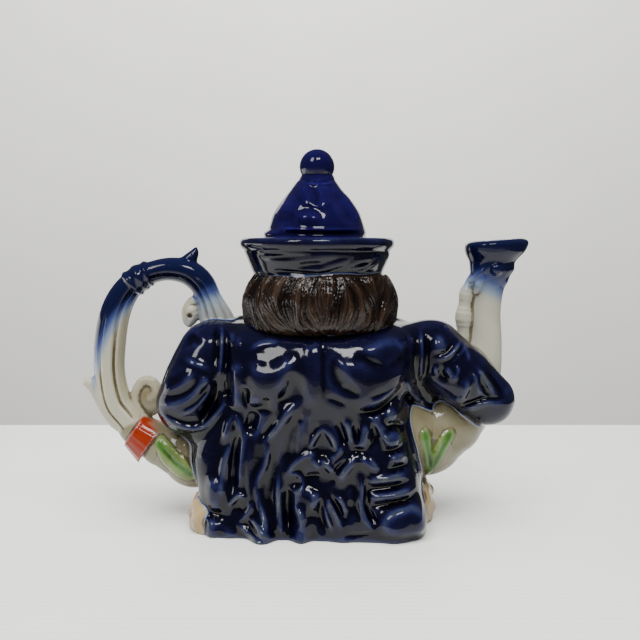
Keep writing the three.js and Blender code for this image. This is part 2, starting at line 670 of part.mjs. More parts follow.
// A solid of revolution about the hat's axis, from [radius, height] points up its profile.
function turned(points) {
  const outline = points.map(([r, z]) => new THREE.Vector2(r, z));
  return solid(new THREE.LatheGeometry(outline, ROUND_SIDES).rotateX(Math.PI / 2));
}

// Heights of the hat, from the figure's own.
const HAT_BASE = FIGURE_HEIGHT - BRIM_HEIGHT;
const SEAT = FIGURE_HEIGHT - WELL_DEPTH;
const SINK = 8; // how far the hat reaches down into the hair
const ROUND_SIDES = 32;

// The turned-up brim, with a rolled rim and the well that the lid stands in.
const ROLL_ANGLES = [-30, 10, 50, 90, 140, 190];
function hatSolid() {
  const rollAt = BRIM_RADIUS - RIM_ROLL;
  const rollTop = FIGURE_HEIGHT - RIM_ROLL;
  const flareTop = FIGURE_HEIGHT - 2 * RIM_ROLL;
  const points = [[0, HAT_BASE - SINK], [HAT_BASE_RADIUS - 3, HAT_BASE - SINK]];
  points.push([HAT_BASE_RADIUS - 0.4, HAT_BASE - 0.6]);
  for (const share of [0.06, 0.5, 1]) {
    points.push([mix(HAT_BASE_RADIUS, rollAt + RIM_ROLL / 2, share), mix(HAT_BASE, flareTop, share)]);
  }
  for (const angle of ROLL_ANGLES.map(THREE.MathUtils.degToRad)) {
    points.push([rollAt + RIM_ROLL * Math.cos(angle), rollTop + RIM_ROLL * Math.sin(angle)]);
  }
  points.push([rollAt - RIM_ROLL + 0.2, SEAT + 0.8], [rollAt - RIM_ROLL - 0.6, SEAT]);
  return turned([...points, [0, SEAT]]);
}

// The mouth under the lid and the hollow of the head below it.
const HEAD_HOLLOW_DEPTH = 15 * SCALE; // below the brim
function mouthSpace() {
  const hollow = HAT_BASE_RADIUS - WALL;
  const low = HAT_BASE - HEAD_HOLLOW_DEPTH;
  const shelf = SEAT - WALL;
  const points = [[0, low], [hollow - 4, low], [hollow, low + 5], [hollow, shelf - 3], [hollow - 2, shelf]];
  return turned([...points, [OPENING_RADIUS, shelf], [OPENING_RADIUS, FIGURE_HEIGHT], [0, FIGURE_HEIGHT]]);
}

// Centre line of the handle from its foot on the belly, over the top, down to the shoulder.
const HANDLE = [
  [-96.5, 46.5, 8.5], [-103.2, 54, 8.8], [-108.7, 62, 8.8], [-111.4, 77.5, 8.2], [-110.6, 95, 8.3],
  [-107.4, 110.5, 7.9], [-101.6, 121.5, 7.1], [-93.7, 128.6, 6.2], [-86, 131.8, 5.9], [-77.7, 133, 6.2],
  [-68.5, 131.3, 6.8], [-61.5, 125.6, 6.8], [-57.4, 117, 6.6], [-54.2, 108, 8.8], [-52, 99, 11],
];
const HANDLE_BAND = 0.5; // place of the ringed band, as a share of the path
const BAND_REACH = 0.042;
const HANDLE_GROOVE = 0.5; // place of the groove, as the share of the half width towards the hand
const scaled = (path) => path.map((p) => p.map((v) => v * SCALE));

function handleSection(angle, half, t) {
  const groove = Math.abs(Math.cos(angle) - HANDLE_GROOVE) < 0.15 ? 0.84 : 1;
  const from = Math.abs(t - HANDLE_BAND) / BAND_REACH;
  const swell = from < 1 ? 1.16 + 0.06 * Math.cos(from * 2 * Math.PI) : 1;
  const cut = from < 1 ? 1 : groove;
  return [half * swell * cut * Math.cos(angle), (HANDLE_DEPTH / 2) * swell * cut * Math.sin(angle)];
}

// Scrolls and leaf tips on the handle, each a path of [x, z, half width].
const LEAF_TIP = [[-73, 132.5, 4.6], [-68.4, 137, 4], [-65.4, 141, 2.5], [-64.2, 144, 0.8]];
const SPUR = [
  [-104, 48, 4], [-108.5, 52, 4.8], [-114, 60.5, 5],
  [-118, 69, 4.8], [-122, 71.8, 3.7], [-125.4, 71.9, 1.2],
];
const UPPER_SCROLL = [
  [-62, 117.5, 3], [-66.8, 115.2, 2.8], [-70, 110, 2.7],
  [-68.5, 104, 2.6], [-65.6, 109, 4], [-66.8, 111, 4.7],
];
const LOWER_SCROLL = [
  [-94.5, 54, 2.8], [-98.6, 63.5, 2.8], [-97.6, 72, 2.8],
  [-91.6, 74.2, 2.7], [-86.9, 70.8, 2.9], [-89.4, 64.7, 3.7],
];
const TRIMS = [LEAF_TIP, SPUR, UPPER_SCROLL, LOWER_SCROLL];

// Lines across the spout, out of the belly and up to its lip: [x, z] on the hat's side, then on the far side.
const SPOUT = [
  [55.6, 62.4, 80.4, 37.6], [66.7, 70.4, 92.3, 52.6], [75.4, 80.7, 98.2, 73.3], [81.1, 94.9, 98.9, 93.1],
  [82.1, 110, 98, 110], [82.4, 124, 99.8, 123.4], [81.4, 132.5, 103.6, 131.5], [80.9, 137, 105.4, 137],
  [78.9, 141.4, 110.2, 142.2], [78.5, 145, 112.2, 146.8], [79.5, 147.2, 110.8, 149.4],
];
const FLARE_FROM = 0.55; // where the mouth starts to open, as a share of the spout
const BORE_FROM = 0.12;

// The mouth narrows towards the pouring lip, which points away from the body.
function spoutSection(angle, half, t) {
  const flare = rise(FLARE_FROM, 1, t);
  const depth = SPOUT_DEPTH_RATIO * (1 - flare * (0.12 + 0.22 * Math.cos(angle)));
  return [half * Math.cos(angle), half * depth * Math.sin(angle)];
}

// The leafy strip up the spout's inner side, a path of [x, z, half width] whose edge swells in lobes.
const STRIP = [
  [79, 93, 3], [78.6, 101, 4.4], [78.8, 110, 4.4],
  [79.8, 118, 4.1], [81, 124.5, 3], [82.4, 129, 1.4],
];
const STRIP_LOBES = 4;
function stripSection(angle, half, t) {
  const wide = half * (1 + 0.22 * Math.cos(2 * Math.PI * STRIP_LOBES * t));
  return [wide * Math.cos(angle), 0.9 * wide * Math.sin(angle)];
}

// The bore runs one wall inside the spout and on past its lip.
function spoutBore() {
  const lines = scaled(SPOUT);
  const [x0, z0, x1, z1] = lines.at(-1);
  const section = (angle, half, t) => spoutSection(angle, half - SPOUT_WALL, t);
  const rings = ringsAcross([...lines, [x0, z0 + WALL, x1, z1 + WALL]], SPOUT_PLANE, 16, 10, section);
  return solid(loft(rings.slice(Math.round(BORE_FROM * 16))));
}

// The box that the free form is sampled in.
const FORM_LOW = [-112, -62, -8];
const FORM_HIGH = [112, 76, 141];

function potSolid() {
  const form = simplified(surfaceOf(figure, FORM_LOW, FORM_HIGH, FORM_CELL), FORM_FACES);
  const inner = simplified(surfaceOf(cavity, FORM_LOW, FORM_HIGH, CAVITY_CELL), CAVITY_FACES);
  for (const part of [form, inner]) part.positions = part.positions.map((p) => p.map((v) => v * SCALE));
  let pot = solid(geometryOf(form)).add(hatSolid());
  pot = pot.add(solid(loft(ringsAlong(scaled(HANDLE), HANDLE_PLANE, 28, 12, handleSection))));
  for (const path of TRIMS) {
    pot = pot.add(solid(loft(ringsAlong(scaled(path), HANDLE_PLANE, 9, 6, roundSection))));
  }
  pot = pot.add(solid(loft(ringsAcross(scaled(SPOUT), SPOUT_PLANE, 18, 14, spoutSection))));
  pot = pot.add(solid(loft(ringsAlong(scaled(STRIP), SPOUT_PLANE, 12, 8, stripSection))));
  pot = pot.subtract(solid(geometryOf(inner))).subtract(mouthSpace()).subtract(spoutBore());
  const under = new THREE.BoxGeometry(400, 400, 40).translate(0, 0, -20);
  return pot.subtract(solid(under));
}

// The crown of the hat, hollow, with a locating ring that drops into the mouth.
const CROWN = [
  [0, 0.99], [0.07, 0.985], [0.19, 0.94], [0.34, 0.89], [0.49, 0.825],
  [0.62, 0.745], [0.74, 0.645], [0.85, 0.52], [0.95, 0.37], [1, 0.3],
];
const KNOB_ANGLES = [-52, -26, 0, 26, 52, 78];
function lidSolid() {
  const foot = OPENING_RADIUS + LID_OVERLAP;
  const base = SEAT + SEAT_GAP;
  const ring = OPENING_RADIUS - FLANGE_CLEARANCE;
  const hollow = ring - FLANGE_WALL;
  const knob = base + CROWN_HEIGHT + KNOB_RADIUS - KNOB_SINK;
  const inside = CROWN.filter(([share]) => share > 0.3 && share < 0.9).map(([share, width]) => [
    Math.min(hollow, width * foot - LID_WALL * 1.15),
    base + share * CROWN_HEIGHT - LID_WALL * 0.4,
  ]);
  const points = [[0, base + CROWN_HEIGHT - LID_WALL], ...inside.reverse()];
  points.push([hollow, base], [hollow, base - FLANGE_DEPTH], [ring, base - FLANGE_DEPTH], [ring, base]);
  for (const [share, width] of CROWN) points.push([width * foot, base + share * CROWN_HEIGHT]);
  for (const angle of KNOB_ANGLES.map(THREE.MathUtils.degToRad)) {
    points.push([KNOB_RADIUS * Math.cos(angle), knob + KNOB_RADIUS * Math.sin(angle)]);
  }
  return turned([...points, [0, knob + KNOB_RADIUS]]);
}

function meshOf(name, shape, color) {
  const { vertProperties, triVerts } = shape.getMesh();
  const geometry = new THREE.BufferGeometry();
  geometry.setAttribute("position", new THREE.BufferAttribute(vertProperties, 3));
  geometry.setIndex(new THREE.BufferAttribute(triVerts, 1));
  const mesh = new THREE.Mesh(geometry, new THREE.MeshStandardMaterial({ color, roughness: 0.12, metalness: 0 }));
  mesh.name = name;
  return mesh;
}

const teapot = new THREE.Group();
teapot.add(meshOf("teapot_body", potSolid(), COAT_BLUE), meshOf("hat_lid", lidSolid(), CROWN_BLUE));
export default teapot;
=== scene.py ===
import math

import bpy
import numpy as np
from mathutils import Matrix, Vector


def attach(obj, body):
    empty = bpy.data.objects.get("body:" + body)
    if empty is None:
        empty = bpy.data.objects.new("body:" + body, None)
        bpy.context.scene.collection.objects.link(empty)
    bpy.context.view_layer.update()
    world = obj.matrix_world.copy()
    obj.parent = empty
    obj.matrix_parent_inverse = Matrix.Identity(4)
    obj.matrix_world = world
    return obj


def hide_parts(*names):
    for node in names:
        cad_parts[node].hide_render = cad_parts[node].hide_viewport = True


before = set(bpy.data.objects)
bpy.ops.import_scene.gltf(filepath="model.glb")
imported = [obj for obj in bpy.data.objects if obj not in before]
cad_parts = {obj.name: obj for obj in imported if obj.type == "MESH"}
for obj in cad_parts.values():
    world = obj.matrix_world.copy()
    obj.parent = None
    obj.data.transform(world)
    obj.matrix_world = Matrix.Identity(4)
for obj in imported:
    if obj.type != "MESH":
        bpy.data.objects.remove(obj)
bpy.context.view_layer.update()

CELL = 0.8  # grid that the pot's form is sampled on
FACES_KEPT = 560000  # triangles of the pot
NORMAL_STEP = 0.3  # reach of the differences that give a slope
SHEET_STEP = 0.3  # grid of the relief drawn on sheets
FAR = 1e9  # further than anything
POINTS_AT_ONCE = 150000  # painted in one go
F = np.float32


def mix(a, b, t):
    """a at t = 0 and b at t = 1."""
    return a + (b - a) * t


def rise(low, high, v):
    """0 at low and 1 at high, smooth between them."""
    t = np.clip((v - low) / (high - low), 0, 1)
    return t * t * (3 - 2 * t)


def along(points, t):
    """Places at t, from 0 to 1, on a smooth curve through the points."""
    p = np.asarray(points, float)
    t = np.asarray(t, float)
    last = len(p) - 1
    place = np.clip(t, 0, 1) * last
    i = np.minimum(place.astype(int), last - 1)
    f = (place - i)[..., None]
    p1, p2 = p[i], p[i + 1]
    p0 = np.where((i > 0)[..., None], p[np.maximum(i - 1, 0)], 2 * p1 - p2)
    p3 = np.where((i < last - 1)[..., None], p[np.minimum(i + 2, last)], 2 * p2 - p1)
    lead, tail = (p2 - p0) / 2, (p3 - p1) / 2
    bend, twist = 3 * (p2 - p1) - 2 * lead - tail, 2 * (p1 - p2) + lead + tail
    return p1 + f * (lead + f * (bend + f * twist))


def profile(stations):
    """A smooth height profile through [height, value] stations."""
    heights = np.array([s[0] for s in stations], float)
    values = [[s[1]] for s in stations]
    last = len(stations) - 1
    z = np.arange(heights[0], heights[-1] + 0.25, 0.5)
    i = np.clip(np.searchsorted(heights, z) - 1, 0, last - 1)
    share = (i + (z - heights[i]) / (heights[i + 1] - heights[i])) / last
    table = along(values, share)[:, 0]
    return lambda v: np.interp(v, z, table).astype(F)


def join(a, b, blend):
    """Two forms as one, with a soft valley between them."""
    h = np.maximum(blend - np.abs(a - b), 0) / blend
    return np.minimum(a, b) - h * h * (blend / 4)


def common(a, b, blend):
    """What two forms share, with a soft edge."""
    return -join(-a, -b, blend)


def ball(x, y, z, shape):
    """About the distance to an ellipsoid, given by its centre and its three radii."""
    cx, cy, cz, rx, ry, rz = shape
    dx, dy, dz = (x - cx) / rx, (y - cy) / ry, (z - cz) / rz
    k0 = np.sqrt(dx * dx + dy * dy + dz * dz)
    k1 = np.sqrt((dx / rx) ** 2 + (dy / ry) ** 2 + (dz / rz) ** 2) + 1e-6
    return k0 * (k0 - 1) / k1


def limb(x, y, z, joints):
    """Distance to a chain of round cones, given by their ends and radii."""
    best = None
    for (ax, ay, az, ar), (bx, by, bz, br) in zip(joints, joints[1:]):
        ex, ey, ez = bx - ax, by - ay, bz - az
        size = ex * ex + ey * ey + ez * ez
        t = np.clip(((x - ax) * ex + (y - ay) * ey + (z - az) * ez) / size, 0, 1)
        d = (x - ax - t * ex) ** 2 + (y - ay - t * ey) ** 2 + (z - az - t * ez) ** 2
        d = np.sqrt(d) - (ar + (br - ar) * t)
        best = d if best is None else np.minimum(best, d)
    return best


def within(x, y, z, low, high, margin, make):
    """make(x, y, z) near a box, and a distance that only says far anywhere else."""
    m = margin
    near = (x > low[0] - m) & (x < high[0] + m) & (y > low[1] - m) & (y < high[1] + m)
    near &= (z > low[2] - m) & (z < high[2] + m)
    out = np.full(x.shape, m, F)
    if near.any():
        out[near] = np.minimum(make(x[near], y[near], z[near]), 60)
    gap = np.zeros(x.shape, F)
    for v, a, b in ((x, low[0], high[0]), (y, low[1], high[1]), (z, low[2], high[2])):
        gap = np.maximum(gap, np.maximum(a - v, v - b))
    return np.where(near, out, np.maximum(gap, m))


def wobble(x, y, z, size, seed):
    """Smooth uneven noise between about -1 and 1 whose lumps are about size across."""
    rng = np.random.RandomState(seed)
    total = np.zeros(np.shape(x), F)
    for _ in range(7):
        way = rng.normal(size=3)
        way *= rng.uniform(1.6, 3.6) / size / np.linalg.norm(way)
        total += np.sin(way[0] * x + way[1] * y + way[2] * z + rng.uniform(0, 6.28)).astype(F)
    return total / 3


def runs(u, v, line):
    """For each run of a line: its number, the nearest share along it, and the step from there to u, v."""
    for n, ((u0, v0), (u1, v1)) in enumerate(zip(line, line[1:])):
        eu, ev = u1 - u0, v1 - v0
        t = np.clip(((u - u0) * eu + (v - v0) * ev) / (eu * eu + ev * ev + 1e-9), 0, 1)
        yield n, t, u - u0 - t * eu, v - v0 - t * ev


def line_distance(u, v, line):
    best = np.full(u.shape, FAR)
    for _, _, du, dv in runs(u, v, line):
        best = np.minimum(best, np.hypot(du, dv))
    return best


def outline_distance(u, v, ring):
    """Distance to a closed outline, below 0 inside it."""
    ring = list(ring)
    ring.append(ring[0])
    best = np.full(u.shape, FAR)
    inside = np.zeros(u.shape, bool)
    for n, _, du, dv in runs(u, v, ring):
        (u0, v0), (u1, v1) = ring[n], ring[n + 1]
        best = np.minimum(best, du**2 + dv**2)
        inside ^= ((v0 <= v) != (v1 <= v)) & (u < u0 + (v - v0) * (u1 - u0) / (v1 - v0 + 1e-12))
    return np.sqrt(best) * np.where(inside, -1, 1)


class Sheet:
    """Heights on an even grid over two coordinates, read smoothly between its points."""

    def __init__(self, low, high, step):
        self.low, self.step = low, step
        self.u = np.arange(low[0], high[0] + step, step)
        self.v = np.arange(low[1], high[1] + step, step)
        self.values = np.zeros((len(self.u), len(self.v)), F)
        self.ridges = self.values.copy()
        self.grooves = self.values.copy()

    def window(self, low, high):
        """The slices of the grid that cover a box, and the coordinates there."""
        i0, i1 = np.searchsorted(self.u, (low[0], high[0]))
        j0, j1 = np.searchsorted(self.v, (low[1], high[1]))
        u, v = np.meshgrid(self.u[i0:i1], self.v[j0:j1], indexing="ij")
        return (slice(i0, i1), slice(j0, j1)), u, v

    def stroke(self, width, height, *flat):
        """A soft ridge, or a groove if height is negative, along a smooth curve."""
        points = np.array(flat, float).reshape(-1, 2)
        where, u, v = self.window(points.min(0) - width - 2, points.max(0) + width + 2)
        if u.size == 0:
            return
        line = along(points, np.linspace(0, 1, 8 * len(points)))
        best = np.full(u.shape, FAR)
        share = np.zeros(u.shape)
        for n, t, du, dv in runs(u, v, line):
            d = du**2 + dv**2
            closer = d < best
            best[closer] = d[closer]
            share[closer] = ((n + t) / (len(line) - 1))[closer]
        taper = rise(-0.04, 0.3, np.minimum(share, 1 - share))
        q = np.clip(best / (width * mix(0.7, 1, taper)) ** 2, 0, 1)
        kind = self.ridges if height > 0 else self.grooves
        kind[where] += ((abs(height) * taper * (1 - q) ** 1.6) ** 3).astype(F)

    def cast(self):
        """Adds the strokes so far to the heights, each crossing no higher than its strongest stroke."""
        self.values += np.cbrt(self.ridges) - np.cbrt(self.grooves)
        self.ridges[:] = 0
        self.grooves[:] = 0
        return self

    def panel(self, soft, height, *flat):
        """A plateau with soft edges inside a smooth closed outline."""
        points = np.array(flat, float).reshape(-1, 2)
        count = len(points)
        share = np.linspace(1, count + 1, 8 * count) / (count + 2)
        ring = along(np.vstack([points[-1:], points, points[:2]]), share)
        where, u, v = self.window(ring.min(0) - soft, ring.max(0) + soft)
        if u.size == 0:
            return
        self.values[where] += (height * rise(soft, -soft, outline_distance(u, v, ring))).astype(F)

    def soften(self, size):
        """The heights blurred over about this distance."""
        n, m = self.values.shape
        fu, fv = np.fft.fftfreq(n)[:, None] / self.step, np.fft.rfftfreq(m)[None, :] / self.step
        keep = np.exp(-2 * (math.pi * size) ** 2 * (fu**2 + fv**2))
        return np.fft.irfft2(np.fft.rfft2(self.values) * keep, s=(n, m)).astype(F)

    def at(self, u, v):
        a = np.clip((u - self.low[0]) / self.step, 0, len(self.u) - 1.001)
        b = np.clip((v - self.low[1]) / self.step, 0, len(self.v) - 1.001)
        i, j = a.astype(np.int32), b.astype(np.int32)
        f, g = a - i, b - j
        t = self.values
        low = t[i, j] * (1 - f) + t[i + 1, j] * f
        high = t[i, j + 1] * (1 - f) + t[i + 1, j + 1] * f
        return (low * (1 - g) + high * g).astype(F)


def drawn(low, high, strokes):
    """A sheet with these strokes on it."""
    sheet = Sheet(low, high, SHEET_STEP)
    for stroke in strokes:
        sheet.stroke(*stroke)
    return sheet.cast()


# The photo's view, which is also the camera's, and its focal length in pixels.
EYE = (1.5, -470, 148.3)
TILT = 5.14
LENS = 50
FILM = 36
FRAME = 640
FOCUS = FRAME * LENS / FILM


def placed(seen, y):
    """The x and z, at depth y, of points given by their columns and rows in the photo."""
    columns, rows = np.array(seen, float).reshape(-1, 2).T
    away = y - EYE[1]
    x = EYE[0] + (columns - FRAME / 2) * away / FOCUS
    z = EYE[2] - away * np.tan(math.radians(TILT) + np.arctan((rows - FRAME / 2) / FOCUS))
    return np.stack([x, z], 1).ravel()


# The coat: its reach to each side by height, and how square its level section is.
COAT_TOP = 107
coat_left = profile([[0, 58], [20, 60.5], [40, 64.5], [55, 62], [70, 55], [90, 54], [COAT_TOP, 52]])
coat_right = profile([[0, 58.5], [20, 55.5], [40, 51.5], [55, 49], [70, 51.5], [90, 54], [COAT_TOP, 52]])
coat_back = profile([
    [0, 42.5], [20, 40], [40, 38.5], [60, 39], [72, 41], [80, 41.4], [88, 40.2], [94, 37.8], [100, 34],
    [COAT_TOP, 28],
])
coat_front = profile([[0, 34], [30, 35], [60, 38], [80, 38], [95, 34], [COAT_TOP, 28]])
coat_gap = profile([[10, 40], [35, 30], [60, 17], [85, 12], [104, 9]])
COAT_TURN = 0.1
coat_squareness = profile([[0, 5.5], [28, 5], [50, 3.4], [66, 2.7], [80, 2.5], [COAT_TOP, 2.5]])

# Folds of the coat, as seen in the photo: width, height in mm, then the curve's columns and rows.
BACK_FOLDS = [
    (2, -1.5, 322.8, 344, 323.2, 370, 323, 396),
    (1.8, 0.7, 319.3, 345, 319.8, 370, 320.3, 398),
    (3, 1, 344, 381, 347, 386),
    (2.6, -1.1, 352, 358, 363, 359, 375, 364, 388, 368),
    (2.2, -0.8, 388, 368, 398, 364, 408, 357),
    (2.6, 1.1, 411, 336, 416, 350, 413, 371),
    (2.6, 2, 425.5, 330, 427, 350, 427, 372, 426, 389),
    (2.4, -1.8, 431, 335, 432, 360, 430, 386),
    (2.6, 2, 406, 391, 411, 387, 417, 400, 425, 408, 434, 412),
    (3, -2.4, 409, 397, 414, 405, 420, 414),
    (2.4, 1.9, 369, 405, 385, 399, 402, 386),
    (3.4, -3, 357, 411, 368, 413, 378, 412, 387, 406, 404, 391),
    (2.2, -1, 369, 397, 380, 394, 390, 390),
    (2.4, -1.6, 326.6, 396.6, 336, 400, 346.3, 404.8),
    (4, 1, 227, 335, 228, 350),
    (3, 0.8, 236, 338, 234, 352),
    (3, 1, 246, 352, 262, 345, 280, 344),
    (2.4, 1.9, 216, 327, 217, 350, 216, 373, 213, 384),
    (2.6, -1.8, 210.5, 330, 211.5, 352, 210.5, 372),
    (2.6, -1.5, 221.5, 335, 222.5, 355, 221, 378),
    (3, -2.2, 223.5, 381, 223, 395, 224, 409),
    (3, -2, 244, 386, 243.5, 400, 245, 411),
    (3, -1.5, 265, 398, 265, 409),
    (2.2, 1, 241, 384, 243, 388, 252, 393),
    (6, -3.2, 252, 411, 250, 424, 246, 438),
    (4, -1.9, 243, 409, 257, 410.5, 272, 411),
    (3, 1.8, 231.4, 415, 226, 426, 223, 437, 220, 448),
    (3, 1.6, 231.4, 415, 236, 428, 238, 442),
    (2, 1, 231.4, 429, 231, 446),
    (5, -1.4, 203, 517, 212, 518, 219, 521),
    (3, 1.9, 228, 446, 220, 468, 218.5, 490, 222, 505),
    (4.5, -2.8, 238, 428, 233.5, 452, 230.5, 478, 229.5, 499),
    (3.4, 1.5, 241, 424, 239, 450, 237, 475, 237.5, 494),
    (3.2, 1.5, 250, 440, 247, 468, 248.5, 498, 253, 517),
    (3, 2.2, 262, 438, 266, 449, 264, 465, 255, 485, 257.5, 504, 264.5, 522, 266, 534),
    (4.5, -1.4, 273, 440, 272, 470, 269, 500, 272, 528),
    (2.8, 2.6, 276.5, 470, 277, 500, 279, 525, 280.5, 542),
    (4.5, -3.2, 288, 488, 286, 508, 288.5, 532),
    (2.4, 2.4, 224, 512, 229.5, 503.5, 237.5, 498.5, 246, 501),
    (2.4, 2.5, 245.5, 500.5, 248.8, 508, 244, 516.5, 236, 525),
    (5, -1.4, 230, 513, 240, 507),
    (2.6, 2.2, 245, 516, 256, 525.5, 271, 537),
    (2.8, 2.4, 234, 525, 248, 534.5, 264, 545.5),
    (2.2, -1.6, 242, 521.5, 254, 531, 265, 540),
    (4, 1.4, 264, 542, 268, 543),
    (3, -2.2, 276, 419.5, 267, 431, 258.5, 442.5),
    (4, 2.3, 295, 405, 280, 424, 263.5, 445.5),
    (4, -1.5, 297, 412, 290, 432, 286.5, 452, 286, 472),
    (2.8, 1.5, 305.5, 407, 302, 425, 299.6, 445, 297.5, 464),
    (2.2, 1.3, 310.5, 407, 308, 425, 306, 445),
    (2, -1, 300.5, 415, 300.5, 424),
    (2.6, 2, 323, 427, 314, 440, 308.5, 452),
    (2.6, 1.8, 323, 427, 333, 441, 338, 453),
    (2.4, 1.5, 308.5, 452, 314, 462, 322, 469),
    (2.4, 1.5, 338, 453, 331, 462, 323, 469),
    (2.2, -1.5, 318, 424, 311.5, 438),
    (3.4, -2.8, 336.5, 417, 340, 428, 343.8, 439, 345, 450),
    (2.6, 1.6, 346.5, 418, 350, 432, 352, 447),
    (2.6, -2.2, 355.5, 422, 357, 434, 358.6, 446),
    (3.8, 2.2, 367, 422, 364.5, 438, 359, 454),
    (3, -1.9, 374.5, 422, 376, 438, 371, 452),
    (3, 2.1, 371, 415, 378, 427, 384.5, 436, 390, 446),
    (2.4, 1.6, 377.5, 412, 382.4, 427, 391.5, 434),
    (3, -2.2, 388, 431, 394, 427, 401, 430, 404.5, 439),
    (2.4, 2.1, 286, 484, 287.5, 477, 294, 474.5, 300.5, 478, 302.5, 484, 298.5, 490.5, 291, 491.5, 286, 485),
    (3, -1.6, 292, 483, 296.5, 484.5),
    (3.4, 2.6, 284, 479, 292, 467.5, 302, 458, 312, 455, 319, 458),
    (3.4, 2.8, 318.6, 457, 327, 465.5, 336, 474.5),
    (2, -1.7, 303, 478, 312, 475.5, 321, 475.5),
    (2.6, 1.9, 293, 507, 299, 512.5, 300.5, 520, 301.5, 530),
    (4.6, 2.6, 315.5, 489, 316, 500, 312.5, 511),
    (3, -2.2, 320, 498, 321, 515, 323.5, 532),
    (2.6, 2.2, 323, 500, 327, 516, 334, 532),
    (3, 2.4, 325, 496, 334, 510.5, 342.5, 530),
    (2.4, -2, 331, 494.5, 338, 507.5, 344, 519.5),
    (2.6, 2.2, 335, 494.5, 344, 503.5, 346.5, 517),
    (3, -1.4, 350.5, 499, 350.5, 516),
    (4.2, 2.6, 358, 455.5, 350, 465, 343.5, 474, 341, 484),
    (2.6, -1.8, 349, 456.5, 340.5, 466, 336, 475),
    (2.4, 1.7, 332.5, 467, 341, 461.5, 350, 456),
    (2.2, 1.7, 327.5, 461.5, 337, 455, 345, 444.5),
    (3.6, -1.3, 330.5, 479, 335.5, 480.5),
    (3.4, -2.6, 352.5, 453.5, 359, 450.5, 366, 452),
    (4.2, 2, 359, 457, 368, 465, 380, 473.5),
    (2, -1.7, 362.5, 461.5, 370, 469, 377.5, 473.5),
    (2.4, 1.8, 369.5, 457.5, 375, 463.5, 381, 470.5),
    (2.8, 3, 360, 472, 363, 489, 362, 503, 365.5, 516, 374, 527),
    (3, -2.6, 367.5, 476, 367.5, 490, 367.5, 503, 372.5, 515, 380, 523),
    (3, -1.3, 354, 480, 356, 500, 358, 516),
    (4, 1.9, 390, 460.5, 400, 459, 409, 459.8),
    (4, 2.1, 366, 480.5, 378, 479.4, 392, 478.2, 408, 476.5),
    (4, 2.3, 368, 496.8, 385, 495.4, 402, 493.5, 418, 491.3),
    (3, -1.5, 384, 452.5, 395, 451, 405, 451.6),
    (3, -1.9, 387, 470.8, 400, 469.5, 412, 468.3),
    (3.2, -2.1, 366, 488.2, 385, 487.5, 414, 484.2),
    (3, -2.6, 367, 505.2, 385, 503.5, 400, 501.2, 418, 500),
    (1.8, -1.6, 345, 532.5, 360, 531.3, 378, 528.5),
    (3, 1.6, 413, 416, 416, 437, 422, 460, 427, 480, 431, 504),
]
SLEEVE_FOLDS = [
    (3.6, 1, 180, 359, 197, 365.5, 215, 372),
    (3.4, 1.1, 193, 369, 187, 379, 173, 388, 160, 394),
    (2.8, -1.2, 196, 375, 192, 386, 180, 394, 164, 399),
    (3.2, 1.1, 200.5, 373, 198, 386, 188, 398, 170, 405, 157, 406),
    (2.6, -1.3, 206, 378, 204, 390, 195, 402, 180, 410),
    (2.8, 1.4, 212.5, 377, 210.5, 388, 202, 399, 190, 410, 176, 416),
    (3, -0.7, 176, 368, 168, 378, 163, 386),
    (2.6, 0.7, 205, 379, 202, 388),
    (3, 2, 155, 411, 166.5, 420.5, 183, 428.5, 199.5, 428, 211, 419.5, 221.5, 404.5, 216, 391),
    (3, -1.4, 185, 350, 188, 340, 200, 345),
    (3, 1.2, 176, 370, 166, 380, 160, 395),
    (2.4, 1.9, 436, 359.5, 449, 358, 458, 351, 465.5, 342),
    (2.2, -1.8, 437, 355, 448, 353.5, 456, 346),
    (2.2, 1.4, 449, 365.5, 457, 359, 466, 351, 470, 343),
    (2, -1.3, 443, 363.5, 453, 360.5, 461, 354, 468, 346),
    (2.6, 1.6, 438, 366, 438, 378),
    (3.2, 1.9, 447, 367, 452, 374, 455, 380),
    (2.2, 1.9, 457, 364.5, 460, 371, 457, 379, 450, 381),
    (2.4, -1.5, 443, 366, 444, 376, 449, 381.5),
    (2.8, 1.8, 471, 380, 468, 393, 464, 402),
    (2.6, 1.8, 476, 372, 480, 386, 483, 400),
    (2.8, -2, 484, 380, 489, 391, 495, 400),
    (2.6, 2.2, 480.5, 370, 489, 380.5, 499, 395.5),
    (2.8, -1.8, 488, 374, 498, 385, 508, 399),
    (2.6, -2.2, 463, 408, 472, 406, 485, 401, 498, 400.5, 513, 400.5),
    (3.4, 1.8, 462, 415, 478, 409, 492, 404.5, 510, 405),
    (2.6, 1.7, 420, 400, 434, 414, 448, 420.5, 467, 422, 482, 426),
    (2.4, 1.2, 465, 342, 470, 352, 473, 366),
]

